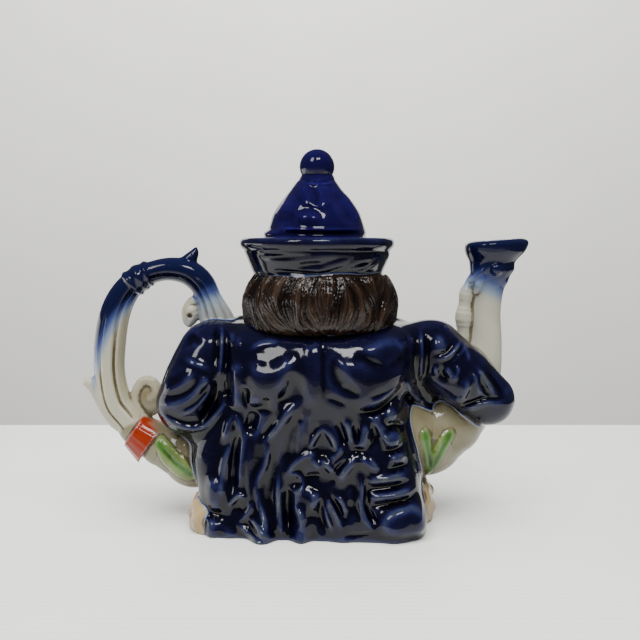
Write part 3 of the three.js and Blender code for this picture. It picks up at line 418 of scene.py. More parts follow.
# Raised and sunk fields between them: soft edge, height in mm, then the outline's columns and rows.
BACK_FIELDS = [
    (
        9, 2.2, 247, 368, 256, 365, 266, 368, 276, 366, 287, 360, 292, 366, 289, 378, 284, 388, 275, 396,
        264, 399, 254, 396, 247, 386,
    ),
    (6, -2.4, 289, 377, 300, 381, 302, 392, 297, 402, 283, 407, 276, 401, 284, 390),
    (4, 0.9, 304, 352, 311, 346, 318, 346, 318, 400, 312, 404, 306, 396),
    (5, -1.9, 333, 362, 338, 370, 346, 379, 358, 392, 354, 395, 342, 391, 333, 384, 330, 374),
    (
        9, 1.7, 342, 364, 360, 362, 380, 369, 398, 364, 408, 373, 405, 382, 392, 392, 378, 403, 362, 405,
        350, 397, 346, 386,
    ),
    (7, 1.5, 371, 346, 384, 340, 400, 341, 409, 350, 402, 360, 388, 367, 375, 361, 367, 353),
    (5, 1.7, 229, 370, 240, 368, 241, 392, 239, 409, 230, 408, 228, 390),
    (3, 1.2, 247, 399, 257, 398, 258, 406, 251, 409, 246, 406),
    (3, 1, 270, 398, 276, 398, 279, 404, 273, 408),
    (5, 2.4, 204, 486, 211, 482, 217, 490, 218, 504, 214, 513, 207, 511, 203, 500),
    (5, 1.6, 203, 523, 214, 522, 222, 527, 232, 535, 226, 542, 210, 540, 203, 535),
    (4, -1.5, 323, 433, 331, 445, 323, 462, 314.5, 447),
    (5, 1.9, 394, 411.5, 401, 418, 395, 425.5, 387, 419),
    (4, 2.4, 388, 436, 396, 433.5, 403, 438, 401, 446, 393, 449.5, 386.5, 444),
    (4, 1.5, 304, 462, 314, 459.5, 322, 466, 320, 472, 306, 473.5),
    (4, 2.3, 294, 496, 303, 488, 312, 490, 314, 502, 308, 512, 300, 520, 295, 512),
    (4, 1.2, 303, 518, 310, 514.5, 314, 525, 307, 531.5),
    (4, 1, 349, 491, 356, 488, 359, 504, 356, 516, 349, 514),
    (
        5, 2.8, 386, 512, 397, 505.5, 410, 502.5, 418, 503.5, 425, 509, 431, 522, 428, 531, 410, 532, 390,
        530.5, 380, 524.5, 382, 517,
    ),
    (4, 1.2, 347, 521, 360, 514.5, 372, 524, 376, 530, 356, 531),
]
SLEEVE_FIELDS = [
    (3, 1.3, 203, 377, 208, 379, 208, 386, 204, 389, 202, 383),
    (4, -1.6, 166, 414, 178, 415, 190, 415.5, 192, 420, 186, 424, 172, 420),
    (7, -2.6, 213, 384, 217, 395, 216, 406, 207, 417, 199, 423, 198, 412, 206, 400),
    (5, 1.8, 438, 338, 446, 340, 449, 349, 443, 353.5, 436, 351),
    (8, 1.4, 433, 382, 452, 382, 470, 380, 468, 395, 460, 408, 448, 403, 437, 392),
    (6, -2.8, 428, 391, 438, 397, 450, 408, 459, 417, 446, 417, 434, 412, 427, 402),
]

# Depths that the folds are drawn at, the size of a photo pixel there, and the hem's lobes as middle,
# half width and reach.
BACK_Y = -40
SLEEVE_Y = -27
PIXEL = (BACK_Y - EYE[1]) / FOCUS
HEM_LOBES = [(-54, 7, 2), (-27, 9, 8), (-8, 7, 5), (12, 8, 1.5), (38, 9, 1.5)]
HEM_HEIGHT = 20


def back_sheet():
    """The coat's relief over x and z: its folds and fields, and the lobes of its hem."""
    sheet = Sheet((-114, 0), (114, 134), SHEET_STEP)
    groups = ((BACK_FOLDS, BACK_FIELDS, BACK_Y), (SLEEVE_FOLDS, SLEEVE_FIELDS, SLEEVE_Y))
    for folds, fields, y in groups:
        for width, height, *seen in folds:
            sheet.stroke(1.5 * width * PIXEL, height, *placed(seen, y))
        for soft, height, *seen in fields:
            sheet.panel(soft * PIXEL, height, *placed(seen, y))
    sheet.cast()
    sheet.values = 0.45 * sheet.soften(0.5) + 0.85 * sheet.soften(2)
    u, v = np.meshgrid(sheet.u, sheet.v, indexing="ij")
    low = rise(HEM_HEIGHT, 0, v)
    for at, half, reach in HEM_LOBES:
        sheet.values += (low * reach * rise(half, 0, np.abs(u - at))).astype(F)
    return sheet


BACK = back_sheet()


def coat(x, y, z):
    tx = x * math.cos(COAT_TURN) - y * math.sin(COAT_TURN)
    ty = x * math.sin(COAT_TURN) + y * math.cos(COAT_TURN)
    a = np.where(tx < 0, coat_left(z), coat_right(z))
    b = np.where(ty < 0, coat_back(z), coat_front(z))
    square = coat_squareness(z)
    total = np.abs(tx / a) ** square + np.abs(ty / b) ** square
    return common((total ** (1 / square) - 1) * np.minimum(a, b), z - COAT_TOP, 14)


# The arms, the thighs and both sides of the belly, as x, y, z and radius.
LEFT_ARM = [
    (-56, -6, 89, 17), (-62.6, -12, 76, 16.6), (-67, -12, 63.5, 16.8), (-58, 14, 58, 15), (-38, 36, 56, 11),
]
RIGHT_ARM = [(60, -6, 90, 17), (76, -9, 77, 16), (90, -9, 65, 13.5), (72, 16, 58, 14), (42, 38, 56, 11)]
THIGH = [(20, 16, 28, 16), (25, 43, 31, 13.5)]
BELLY_LEFT = [(-98, 3, 46.5, 8.5), (-84, 3, 38.5, 12), (-66, 3, 33, 18), (-40, 2, 36, 26)]
BELLY_RIGHT = [(40, 3, 45, 28), (58, 4, 43.6, 22), (71, 4, 51, 18.5), (82, 4, 63, 15.5)]


def clothing(x, y, z):
    side = np.abs(x)
    edge = rise(-1, 1.4, side - coat_gap(z))
    front = edge * (2 + 1.1 * np.sin(x / 58 * 11) * rise(64, 40, z))
    d = coat(x, y, z) - front * rise(-4, 10, y)
    d = join(d, limb(x, y, z, LEFT_ARM), 7)
    right = join(limb(x, y, z, RIGHT_ARM), ball(x, y, z, (58, 2, 72, 12, 18, 18)), 3)
    d = join(d, right, 7)
    behind = rise(6, -12, y)
    return d - np.where(np.abs(d) < 9, BACK.at(x, z) * behind, 0) - 0.12 * wobble(x, y, z, 7, 3)


def belly(x, y, z):
    left = join(limb(x, y, z, BELLY_LEFT), ball(x, y, z, (-90.5, 3, 64, 8, 2.4, 10.5)), 2)
    return join(left, limb(x, y, z, BELLY_RIGHT), 10)


# The leaves on the back of the belly, as x and z.
LEFT_LEAF = [
    (-85, 42.5), (-82, 45), (-78.5, 42.5), (-70.5, 36), (-66, 30.5), (-64, 24), (-70, 23), (-79.5, 29),
    (-83.5, 35.5),
]
RIGHT_LEAF = [
    (53.5, 47.5), (55, 51), (57, 50.5), (59, 43.5), (60, 40.5), (63.5, 46), (67, 49.5), (70.5, 49.5),
    (70.5, 46), (66.5, 38.5), (62, 30), (58.5, 25.5), (56.5, 32.5),
]
LEAF_STROKES = [
    (7, 0.8, -86, 43, -77, 35, -64, 24),
    (1.8, -0.5, -84, 42, -75, 33.5, -65, 25.5),
    (4.4, 0.6, 55.4, 52, 57, 40, 58.5, 24),
    (5, 0.6, 70.5, 50.5, 64.5, 38, 59, 24),
    (1.5, -0.4, 55.6, 50, 58, 38, 59, 27),
    (1.5, -0.4, 69, 48.5, 63.5, 38, 60, 28),
    (3, -0.9, 61, 47, 60.5, 42, 59.5, 37),
]


def leaf_sheet():
    sheet = Sheet((-112, 10), (112, 70), SHEET_STEP)
    for outline in (LEFT_LEAF, RIGHT_LEAF):
        sheet.panel(1.1, 0.8, *sum(outline, ()))
    for stroke in LEAF_STROKES:
        sheet.stroke(*stroke)
    return sheet.cast()


LEAVES = leaf_sheet()


def cuff(x, y, z):
    ring = limb(x, y, z, [(-97, 3, 45.4, 10.2), (-89, 3, 39, 12.6)])
    s = ((x + 97) * 9 - (z - 46) * 6) / math.hypot(9, 6)
    flute = 0.12 * np.cos(np.arctan2(y - 3, (x + 92) * 0.55 + (z - 42) * 0.83) * 16)
    return np.maximum(ring - flute, np.maximum(-s - 1.5, s - 10))


def hand(x, y, z):
    side = np.abs(x)
    palm = limb(side, y, z, [(30, 42, 55, 8), (18, 49, 52, 7.5)])
    return palm - 0.9 * np.cos((z - 52) * 1.5) * rise(24, 16, side)


def legs(x, y, z):
    side = np.abs(x)
    shin = limb(side, y, z, [(25, 44, 29, 12.5), (28, 46, 8, 10)])
    return join(limb(side, y, z, THIGH), shin, 6)


def shoes(x, y, z):
    return ball(np.abs(x), y, z, (29, 53, 4, 11, 17, 10))


def ground(x, y, z):
    left = ball(x, y, z, (-56.5, -16, 6, 10.5, 18, 12.5))
    right = ball(x, y, z, (54, 0, 7, 8.5, 19, 16))
    middle = ball(x, y, z, (-2, 12, 0, 60, 46, 17))
    lumps = 1.1 * np.sin(x * 0.42) * np.sin(y * 0.37 + 1) * np.sin(z * 0.4 + 2)
    return join(join(left, right, 4), middle, 8) - lumps - 0.35 * wobble(x, y, z, 3.5, 8)


def head(x, y, z):
    side = np.abs(x)
    d = ball(x, y, z, (0, 7, 113, 29, 31, 25))
    d = join(d, ball(x, y, z, (0, 25, 99, 17, 12, 9.5)), 9)
    d = join(d, ball(side, y, z, (13.5, 29, 107, 8, 7, 7)), 6)
    d = join(d, limb(side, y, z, [(4, 37.5, 121, 1.6), (15, 33.5, 120.5, 1.6)]), 4)
    d = join(d, limb(x, y, z, [(0, 38, 119, 2.4), (0, 42.5, 110, 3.6)]), 3)
    d = join(d, ball(side, y, z, (3.6, 39.5, 109.2, 2.6, 2.4, 2.2)), 2)
    d = -join(-d, ball(side, y, z, (10, 39.5, 116.6, 5, 3.4, 2.6)), 2)
    d = join(d, ball(side, y, z, (10, 34.4, 116.4, 4.2, 3, 2.6)), 1)
    d = join(d, limb(side, y, z, [(0, 38.4, 103.6, 1.5), (5.6, 36.6, 103.4, 0.7)]), 1)
    return join(d, limb(side, y, z, [(0, 38, 101, 1.6), (4.6, 36.4, 101.6, 0.8)]), 1)


# The hair: strands drawn along a flow that falls from the hat, curls in at the left and parts at the right.
hair_width = profile([[97, 22], [101, 33], [105, 38.6], [112, 40.4], [121, 40.4], [128, 37.5], [134, 33]])
HAIR_DEPTH = 0.94
HAIR_MIDDLE = (2.0, -2.0, 115.0)


def hair_sheet():
    """Strand heights over the way round the head and the height, by smearing noise along the flow."""
    step = 0.2
    sheet = Sheet((-90, 94), (90, 136), step)
    u, v = np.meshgrid(sheet.u, sheet.v, indexing="ij")
    rng = np.random.RandomState(11)
    down = rise(129, 101, v)
    lean = mix(-0.4 + 1.35 * down, 0.45 - 1.05 * down, rise(-5, 11, u))
    lean = mix(lean, -0.8 + 0.5 * down, rise(27, 35, u) * rise(52, 44, u))
    lean = mix(lean, -0.1 + 0.7 * down, rise(-28, -38, u))
    lean += 0.22 * np.sin(u / 4.3 + v / 8) + 0.2 * np.sin(v / 5 - u / 9) + 0.15 * np.sin(u / 2.1 - v / 3.3)
    lean -= 0.8 * np.exp(-(((u - 3) / 5) ** 2) - ((v - 108) / 4) ** 2)
    du, dv = np.sin(lean), -np.cos(lean)
    for size, reach, weight in ((0.4, 14, 0.15), (0.85, 22, 0.15), (3, 30, 0.24)):
        grid = rng.normal(size=(int(180 / size) + 4, int(44 / size) + 4))
        smear = np.zeros(u.shape)
        for way in (-1, 1):
            pu, pv = u.copy(), v.copy()
            for _ in range(reach):
                i = np.clip(((pu - sheet.low[0]) / step), 0, u.shape[0] - 1).astype(int)
                j = np.clip(((pv - sheet.low[1]) / step), 0, u.shape[1] - 1).astype(int)
                pu += way * du[i, j] * 0.4
                pv += way * dv[i, j] * 0.4
                a = np.clip((pu - sheet.low[0]) / size, 0, grid.shape[0] - 1.01)
                b = np.clip((pv - sheet.low[1]) / size, 0, grid.shape[1] - 1.01)
                ia, ib = a.astype(int), b.astype(int)
                fa, fb = rise(0, 1, a - ia), rise(0, 1, b - ib)
                near = mix(grid[ia, ib], grid[ia + 1, ib], fa)
                smear += mix(near, mix(grid[ia, ib + 1], grid[ia + 1, ib + 1], fa), fb)
        sheet.values += (weight * np.clip(smear / smear.std(), -2, 2)).astype(F)
    return sheet


HAIR = hair_sheet()


def hair(x, y, z):
    hx = x - HAIR_MIDDLE[0]
    drop = z + 3.2 * (hx / 40) ** 2
    a = hair_width(drop)
    around = np.arctan2(hx, -y - 2)
    d = (np.sqrt((hx / a) ** 2 + ((y + 2) / (a * HAIR_DEPTH)) ** 2) - 1) * a
    d = d - 0.4 * np.sin(around * 7 + 1.2 * np.sin(z / 7))
    low = 98.2 - drop + 0.5 * np.sin(around * 22)
    face = y - mix(6, 17, rise(100, 128, z))
    return common(common(common(d, low, 7), z - 136, 4), face, 6)


def neck_cloth(x, y, z):
    return limb(np.abs(x), y, z, [(0, 34, 92, 4), (9, 34.5, 90, 5), (15, 33, 91, 3)])


def buttons(x, y, z):
    best = None
    for height in (80.0, 68.0):
        reach = float(coat_front(np.array([height]))[0]) + 2.2
        d = ball(x, y, z, (0, reach, height, 2.8, 2, 2.8))
        best = d if best is None else np.minimum(best, d)
    return best


# The hat's brim: its top, the seat of the lid, the radius of its rolled rim and its own radius.
TOP = 149.5
SEAT = 143.8
ROLL = 2.9
BRIM_RADIUS = 40.3

# Wrinkles of its side: width, height, then the curve's way round and its z.
BRIM_STROKES = [
    (2.7, 0.5, -35, 142.5, -24, 142.5, -8.5, 142.5, 0.5, 141),
    (2.4, -0.4, -33.5, 140.5, -22, 140, -8.5, 140),
    (3.3, 0.5, -30.5, 137.5, -16.5, 138, -6, 138.5, 4, 140.5, 12.5, 141.5),
    (2.4, -0.6, -11, 135.5, -3.5, 136.5, 4.5, 136),
    (2.7, 0.6, -8.5, 133.5, 1.5, 134, 10, 136.5, 18, 138.5),
    (1.8, -0.6, -28, 133, -16.5, 132.5, -8.5, 132, 6.5, 131),
    (2.4, 0.6, -28, 131, -16.5, 130.5, 2.5, 129.5, 15.5, 128.5, 33, 127.5),
    (3.6, 0.4, 14, 134.5, 24, 137.5, 33.5, 139.5),
    (2.4, -0.4, 14, 132.5, 21.5, 134.5, 30.5, 136),
    (2.4, -0.5, 32, 144, 40, 142, 50.5, 139),
    (3, 0.4, 26.5, 133, 33.5, 135.5, 41, 137.5),
    (2.4, -0.5, 15, 129.5, 24, 129.5),
]


BRIM_FLARE = [(122, 30.4), (129.4, 33), (130.4, 33.7), (137, 36.3), (143.7, 38.6), (149, 38.6)]
BRIM = drawn((-120, 124), (120, 150), BRIM_STROKES)


def hat(x, y, z):
    around = np.arctan2(x, -y)
    r = np.sqrt(x * x + y * y)
    lift = -1.4 * np.sin(1.7 * around) * rise(2.6, 1.8, np.abs(around))
    r = r + 0.35 * np.sin(2 * around + 1) * rise(131, 146, z)
    zz = z - lift * rise(128, 131, z) * rise(146, 138, z)
    flare = np.interp(zz, *zip(*BRIM_FLARE)).astype(F)
    cone = np.maximum((r - flare) * 0.94, np.maximum(122 - z, z - 147.4))
    torus = np.sqrt((r - BRIM_RADIUS + ROLL) ** 2 + (z - TOP + ROLL) ** 2) - ROLL
    crease = 0.5 * np.exp(-(((zz - 143.2) / 1.3) ** 2))
    ripples = 0.24 * wobble(around * 12, 0 * z, z * 1.6, 12, 21) + 0.06 * wobble(around * 30, 0 * z, z, 8, 22)
    cone = cone + crease - ripples * rise(130, 133, z) * rise(144, 140, z) - BRIM.at(around * 37, z)
    d = join(cone, torus, 1.8)
    well = np.maximum(r - (BRIM_RADIUS - 2 * ROLL - 0.3), SEAT - z)
    return common(d, -well, 0.8)


# The handle, as x, z and half width, and its scrolls, as x, z and radius.
HANDLE_Y = 3.0
HANDLE_DEPTH = 7.3
HANDLE = [
    (-96.5, 46.5, 8.5), (-103.2, 54, 8.8), (-108.7, 62, 8.8), (-111.4, 77.5, 8.2), (-110.6, 95, 8.3),
    (-107.4, 110.5, 7.9), (-101.6, 121.5, 7.1), (-93.7, 128.6, 6.2), (-86, 131.8, 5.9), (-77.7, 133, 6.2),
    (-68.5, 131.3, 6.8), (-61.5, 125.6, 6.8), (-57.4, 117, 6.6), (-54.2, 108, 8.8), (-52, 99, 11),
]
TRIMS = [
    [(-73, 132.5, 4.6), (-68.4, 137, 4), (-65.4, 141, 2.5), (-64.2, 144, 0.8)],
    [
        (-104, 48, 4), (-108.5, 52, 4.8), (-114, 60.5, 5), (-118, 69, 4.8), (-122, 71.8, 3.7),
        (-124.2, 71.9, 1.2),
    ],
    [
        (-62, 117.5, 3), (-66.8, 115.2, 2.8), (-70, 110, 2.5), (-68.8, 104, 2.3), (-66, 108, 3.4),
        (-66.8, 110.6, 4.3),
    ],
    [
        (-94, 54, 2.7), (-97.8, 61, 2.4), (-97.4, 68, 2.3), (-93, 73.4, 2.4), (-87.6, 71.8, 2.4),
        (-86.6, 66.6, 2.3), (-89.8, 64, 2.6),
    ],
]
HANDLE_BOX = ((-127, -9, 40), (-42, 15, 146))


def strap_sheets():
    """For places in the handle's plane: the share along it, the place across it and its half width."""
    line = along(HANDLE, np.linspace(0, 1, 240))
    step = 0.5
    sheets = [Sheet((-130, 38), (-38, 148), step) for _ in range(3)]
    u, v = np.meshgrid(sheets[0].u, sheets[0].v, indexing="ij")
    best = np.full(u.shape, 1e9)
    share, side, half = np.zeros(u.shape), np.zeros(u.shape), np.ones(u.shape)
    for n, ((u0, v0, h0), (u1, v1, h1)) in enumerate(zip(line, line[1:])):
        eu, ev = u1 - u0, v1 - v0
        t = np.clip(((u - u0) * eu + (v - v0) * ev) / (eu * eu + ev * ev), 0, 1)
        d = np.hypot(u - u0 - t * eu, v - v0 - t * ev)
        closer = d < best
        best[closer] = d[closer]
        share[closer] = ((n + t) / (len(line) - 1))[closer]
        half[closer] = mix(h0, h1, t)[closer]
        outside = (u - u0) * ev - (v - v0) * eu
        side[closer] = (np.where(outside > 0, 1, -1) * d)[closer]
    for sheet, values in zip(sheets, (share, side, half)):
        sheet.values = values.astype(F)
    return sheets


STRAP_SHARE, STRAP_SIDE, STRAP_HALF = strap_sheets()
TRIM_LINES = [[(x, HANDLE_Y, z, r) for x, z, r in along(path, np.linspace(0, 1, 12))] for path in TRIMS]


def strap(x, y, z):
    t, side, half = STRAP_SHARE.at(x, z), STRAP_SIDE.at(x, z), STRAP_HALF.at(x, z)
    w = side / half
    away = np.abs(t - 0.5) / 0.042
    swell = 1 + rise(1.25, 0.8, away) * (0.17 + 0.06 * np.cos(away * 2 * math.pi))
    depth = HANDLE_DEPTH * swell
    v = (y - HANDLE_Y) / depth
    q = np.sqrt((w / swell) ** 2 + v * v)
    d = (q - 1) * np.minimum(half, HANDLE_DEPTH) * 0.97
    plain = rise(1, 1.3, away)
    main = np.exp(-(((w - 0.42) / 0.1) ** 2)) * (1.7 * rise(0.03, 0.1, t) * rise(0.98, 0.9, t))
    outer = np.exp(-(((w + 0.45) / 0.09) ** 2)) * 1.1 * rise(0.42, 0.3, t)
    rib = np.exp(-(((w + 0.05) / 0.1) ** 2)) * 1.5 + np.exp(-(((w + 0.6) / 0.1) ** 2)) * 1.1
    rib = rib * rise(0.74, 0.8, t)
    return d + (main + outer + rib) * plain * rise(2.2, 1, np.abs(v))


def handle(x, y, z):
    d = strap(x, y, z)
    for n, line in enumerate(TRIM_LINES):
        d = join(d, limb(x, y, z, line), 1.2 if n < 2 else 1.6)
    pits = ball(x, y, z, (-67.6, -1, 108.2, 1.5, 3, 1.5))
    return -join(-d, pits, 0.8)


# The spout: stations up it, each with x and z on its left and then on its right, and the strip of
# beads on its left, as x, z and radius. The scroll and its tail are x, y, z and radius.
SPOUT_Y = 4.0
SPOUT_ROUNDNESS = 0.88
SPOUT = [
    (55.6, 62.4, 80.4, 37.6), (66.7, 70.4, 92.3, 52.6), (75.4, 80.7, 98.2, 73.3), (81.1, 94.9, 98.9, 93.1),
    (82.1, 110, 98, 110), (82.4, 124, 99.8, 123.4), (81.4, 132.5, 103.6, 131.5), (80.9, 137, 105.4, 137),
    (78.9, 141.4, 110.2, 142.2), (78.5, 145, 112.2, 146.8), (79.5, 147.2, 110.8, 149.4),
]
SPOUT_BOX = ((50, -12, 34), (113, 21, 151))
STRIP = [(79, 93, 3), (78.6, 101, 4.4), (78.8, 110, 4.4), (79.8, 118, 4.1), (81, 124.5, 3), (82.4, 129, 1.4)]
SCROLL = [(91.4, -4.6, 137, 1.5), (86, -4, 131.4, 1.8), (80.6, -1.4, 126.4, 1.2)]
SCROLL_TAIL = [(87, -4.4, 128.5, 1.2), (85, -3.2, 125, 2.1), (83.5, -2, 121, 1)]


def spout_sheets():
    """For places in the spout's plane: the share up it, the place across it, its half width and the lip."""
    count = 220
    lines = along(SPOUT, np.linspace(0, 1, count))
    sheets = [Sheet((44, 28), (122, 160), 0.5) for _ in range(4)]
    u, v = np.meshgrid(sheets[0].u, sheets[0].v, indexing="ij")
    mid = np.stack([(lines[:, 0] + lines[:, 2]) / 2, (lines[:, 1] + lines[:, 3]) / 2], 1)
    way = np.stack([lines[:, 2] - lines[:, 0], lines[:, 3] - lines[:, 1]], 1)
    half = np.linalg.norm(way, axis=1) / 2
    way /= 2 * half[:, None]
    above = (u[..., None] - mid[:, 0]) * -way[:, 1] + (v[..., None] - mid[:, 1]) * way[:, 0]
    first = np.argmax(above < 0, axis=2)
    first = np.where((above < 0).any(axis=2), first, count - 1)
    before = np.maximum(first - 1, 0)
    rows = np.indices(first.shape)
    a, b = above[rows[0], rows[1], before], above[rows[0], rows[1], first]
    f = np.where((a >= 0) & (b < 0), a / (a - b + 1e-9), (first > 0).astype(float))
    place = np.clip(before + f, 0, count - 1)
    share = place / (count - 1)
    index = np.minimum(place.astype(int), count - 2)
    part = place - index
    mu, mv = mix(mid[index, 0], mid[index + 1, 0], part), mix(mid[index, 1], mid[index + 1, 1], part)
    wu, wv = mix(way[index, 0], way[index + 1, 0], part), mix(way[index, 1], way[index + 1, 1], part)
    h = mix(half[index], half[index + 1], part)
    across = (u - mu) * wu + (v - mv) * wv
    lip = above[..., -1]
    for sheet, values in zip(sheets, (share, across, h, lip)):
        sheet.values = values.astype(F)
    return sheets


SPOUT_SHARE, SPOUT_ACROSS, SPOUT_HALF, SPOUT_LIP = spout_sheets()


def spout_ring(t, across, half, y, thinner):
    """Distance to the spout's wall, or to its bore if thinner is the wall's thickness."""
    h = half - thinner
    w, v = across / h, (y - SPOUT_Y) / h
    q = np.sqrt(w * w + (v / SPOUT_ROUNDNESS) ** 2) + 1e-6
    flare = rise(0.55, 1, t)
    depth = SPOUT_ROUNDNESS * (1 - flare * (0.12 + 0.22 * w / q))
    q = np.sqrt(w * w + (v / depth) ** 2)
    return (q - 1) * h * 0.9


def spout(x, y, z):
    t, across, half = SPOUT_SHARE.at(x, z), SPOUT_ACROSS.at(x, z), SPOUT_HALF.at(x, z)
    lip = SPOUT_LIP.at(x, z)
    w = across / half
    pair = np.exp(-(((z - 133) / 2.2) ** 2)) + np.exp(-(((z - 126) / 2.4) ** 2))
    bumps = 0.7 * np.exp(-(((w - 0.97) / 0.2) ** 2)) * pair
    d = common(spout_ring(t, across, half, y, 0) - bumps, lip, 2.2)
    d = join(d, limb(x, y, z, STRIP_LINE), 1.2)
    d = join(d, ball(x, y, z, (93.6, -4.9, 133.2, 3.6, 3.4, 3.6)), 0.7)
    d = join(d, limb(x, y, z, SCROLL), 1.2)
    return join(d, limb(x, y, z, SCROLL_TAIL), 1.6)


def strip_line():
    t = np.linspace(0, 1, 20)
    path = along(STRIP, t)
    wide = path[:, 2] * (0.98 + 0.12 * np.cos(2 * math.pi * (3.2 * t - 0.1)))
    return [(p[0], SPOUT_Y, p[1], w) for p, w in zip(path, wide)]


STRIP_LINE = strip_line()


# The inside of the pot: clay of the body and of the spout, the floor, and the mouth under the lid.
WALL = 4.2
SPOUT_WALL = 2.8
FLOOR = 5
BELLY_REACH = 74
MOUTH_RADIUS = 24.5
HOLLOW_RADIUS = 29.2
HOLLOW_TOP = 139.6


def bore(x, y, z):
    t, across, half = SPOUT_SHARE.at(x, z), SPOUT_ACROSS.at(x, z), SPOUT_HALF.at(x, z)
    return np.maximum(spout_ring(t, across, half, y, SPOUT_WALL), (0.12 - t) * 60)


def bored(x, y, z):
    return within(x, y, z, (60, -10, 40), (112, 18, 156), 6, bore)


def cavity(x, y, z):
    arms = np.minimum(limb(x, y, z, LEFT_ARM), limb(x, y, z, RIGHT_ARM)) + WALL
    thighs = limb(np.abs(x), y, z, THIGH) + WALL
    trunk = join(coat(x, y, z) + WALL, join(arms, thighs, 4), 6) + 1.8
    space = common(belly(x, y, z) + WALL, np.abs(x) - BELLY_REACH, 5)
    skull = ball(x, y, z, (0, 0, 114, 35 - WALL, 31 - WALL, 24 - WALL))
    d = common(join(join(trunk, space, 4), skull, 8), FLOOR - z, 3)
    r = np.sqrt(x * x + y * y)
    hollow = np.maximum(r - HOLLOW_RADIUS, np.maximum(115 - z, z - HOLLOW_TOP))
    return join(np.minimum(d, hollow), np.maximum(r - MOUTH_RADIUS, 137 - z), 0.6)


def shapes(x, y, z):
    """Each part of the pot's outside: its name, its distance and how softly it flows into the rest."""
    leaves = LEAVES.at(x, z)
    return [
        ("coat", clothing(x, y, z), 1),
        ("belly", belly(x, y, z) - leaves, 2.2),
        ("cuff", within(x, y, z, (-112, -12, 26), (-76, 18, 58), 6, cuff), 1),
        ("legs", within(x, y, z, (-42, -2, -4), (42, 60, 46), 8, legs), 3),
        ("shoes", within(x, y, z, (-42, 34, -8), (42, 71, 16), 6, shoes), 1.5),
        ("skin", within(x, y, z, (-40, 30, 42), (40, 60, 66), 6, hand), 1.5),
        ("ground", within(x, y, z, (-74, -40, -18), (66, 60, 26), 8, ground), 1.5),
        ("skin", within(x, y, z, (-30, -25, 86), (30, 48, 139), 6, head), 2),
        ("hair", within(x, y, z, (-44, -44, 94), (48, 20, 140), 6, hair) + 0.9, 1.2),
        ("cloth", within(x, y, z, (-20, 26, 84), (20, 42, 98), 5, neck_cloth), 0.8),
        ("buttons", within(x, y, z, (-4, 30, 62), (4, 48, 85), 5, buttons), 0.5),
        ("hat", within(x, y, z, (-41, -41, 121), (41, 41, 150), 6, hat), 0.9),
        ("handle", within(x, y, z, HANDLE_BOX[0], HANDLE_BOX[1], 6, handle), 1.6),
        ("spout", within(x, y, z, SPOUT_BOX[0], SPOUT_BOX[1], 6, spout), 1.6),
    ]


def pot(x, y, z):
    d = None
    for _, distance, blend in shapes(x, y, z):
        d = distance if d is None else join(d, distance, blend)
    d = common(d, -cavity(x, y, z), 0.8)
    d = common(d, -bored(x, y, z), 0.8)
    return common(d, -z, 0.7)


BLOCK = 5  # cells along the side of a block
BLOCKS_AT_ONCE = 3200
CENTRES_AT_ONCE = 200000
REACH = 1.15 * 0.87  # of a block's side: half its diagonal and a margin
RELIEF_MARGIN = 2.2  # a further margin, in mm, for the relief


def sampled(field, low, high, cell):
    """Distances on a grid: full detail in blocks near the surface and one value in each other block."""
    block = BLOCK
    blocks = [int(math.ceil((b - a) / cell / block)) + 1 for a, b in zip(low, high)]
    centres = np.stack(np.meshgrid(*[np.arange(n) for n in blocks], indexing="ij"), -1).reshape(-1, 3)
    low = np.array(low, F)
    middle = []
    for start in range(0, len(centres), CENTRES_AT_ONCE):
        chunk = centres[start : start + CENTRES_AT_ONCE]
        p = low + (chunk * block + (block - 1) / 2).astype(F) * F(cell)
        middle.append(field(p[:, 0], p[:, 1], p[:, 2]))
    middle = np.concatenate(middle).astype(F)
    values = middle.reshape(blocks)
    for axis in range(3):
        values = np.repeat(values, block, axis)
    near = centres[np.abs(middle) < block * cell * REACH + RELIEF_MARGIN]
    offsets = np.indices((block, block, block)).reshape(3, -1).T
    for start in range(0, len(near), BLOCKS_AT_ONCE):
        g = (near[start : start + BLOCKS_AT_ONCE, None, :] * block + offsets[None]).reshape(-1, 3)
        p = low + g.astype(F) * F(cell)
        values[g[:, 0], g[:, 1], g[:, 2]] = field(p[:, 0], p[:, 1], p[:, 2])
    return values


def netted(values, low, cell):
    """A net of quads over the zero surface of sampled values."""
    inside = values < 0
    shape = values.shape
    quads, places = [], []
    for axis in range(3):
        b, c = (axis + 1) % 3, (axis + 2) % 3
        fore = [slice(None)] * 3
        back = [slice(None)] * 3
        fore[axis], back[axis] = slice(0, -1), slice(1, None)
        for other in (b, c):
            fore[other] = back[other] = slice(1, -1)
        edges = np.argwhere(inside[tuple(fore)] != inside[tuple(back)])
        edges[:, b] += 1
        edges[:, c] += 1
        ends = edges.copy()
        ends[:, axis] += 1
        v0 = values[edges[:, 0], edges[:, 1], edges[:, 2]]
        v1 = values[ends[:, 0], ends[:, 1], ends[:, 2]]
        place = edges.astype(F)
        place[:, axis] += v0 / (v0 - v1)
        corners = []
        for db, dc in ((1, 1), (0, 1), (0, 0), (1, 0)):
            cell_at = edges.copy()
            cell_at[:, b] -= db
            cell_at[:, c] -= dc
            corners.append(np.ravel_multi_index(cell_at.T, shape))
        quad = np.stack(corners, 1)
        flip = v0 > v1
        quad[flip] = quad[flip][:, ::-1]
        quads.append(quad)
        places.append(np.repeat(place[:, None, :], 4, 1))
    quads, places = np.concatenate(quads), np.concatenate(places)
    _, index = np.unique(quads.ravel(), return_inverse=True)
    index = index.reshape(-1)
    count = np.bincount(index)
    flat = places.reshape(-1, 3)
    points = np.stack([np.bincount(index, flat[:, k]) / count for k in range(3)], 1)
    return (np.array(low) + points * cell).astype(F), index.reshape(-1, 4)


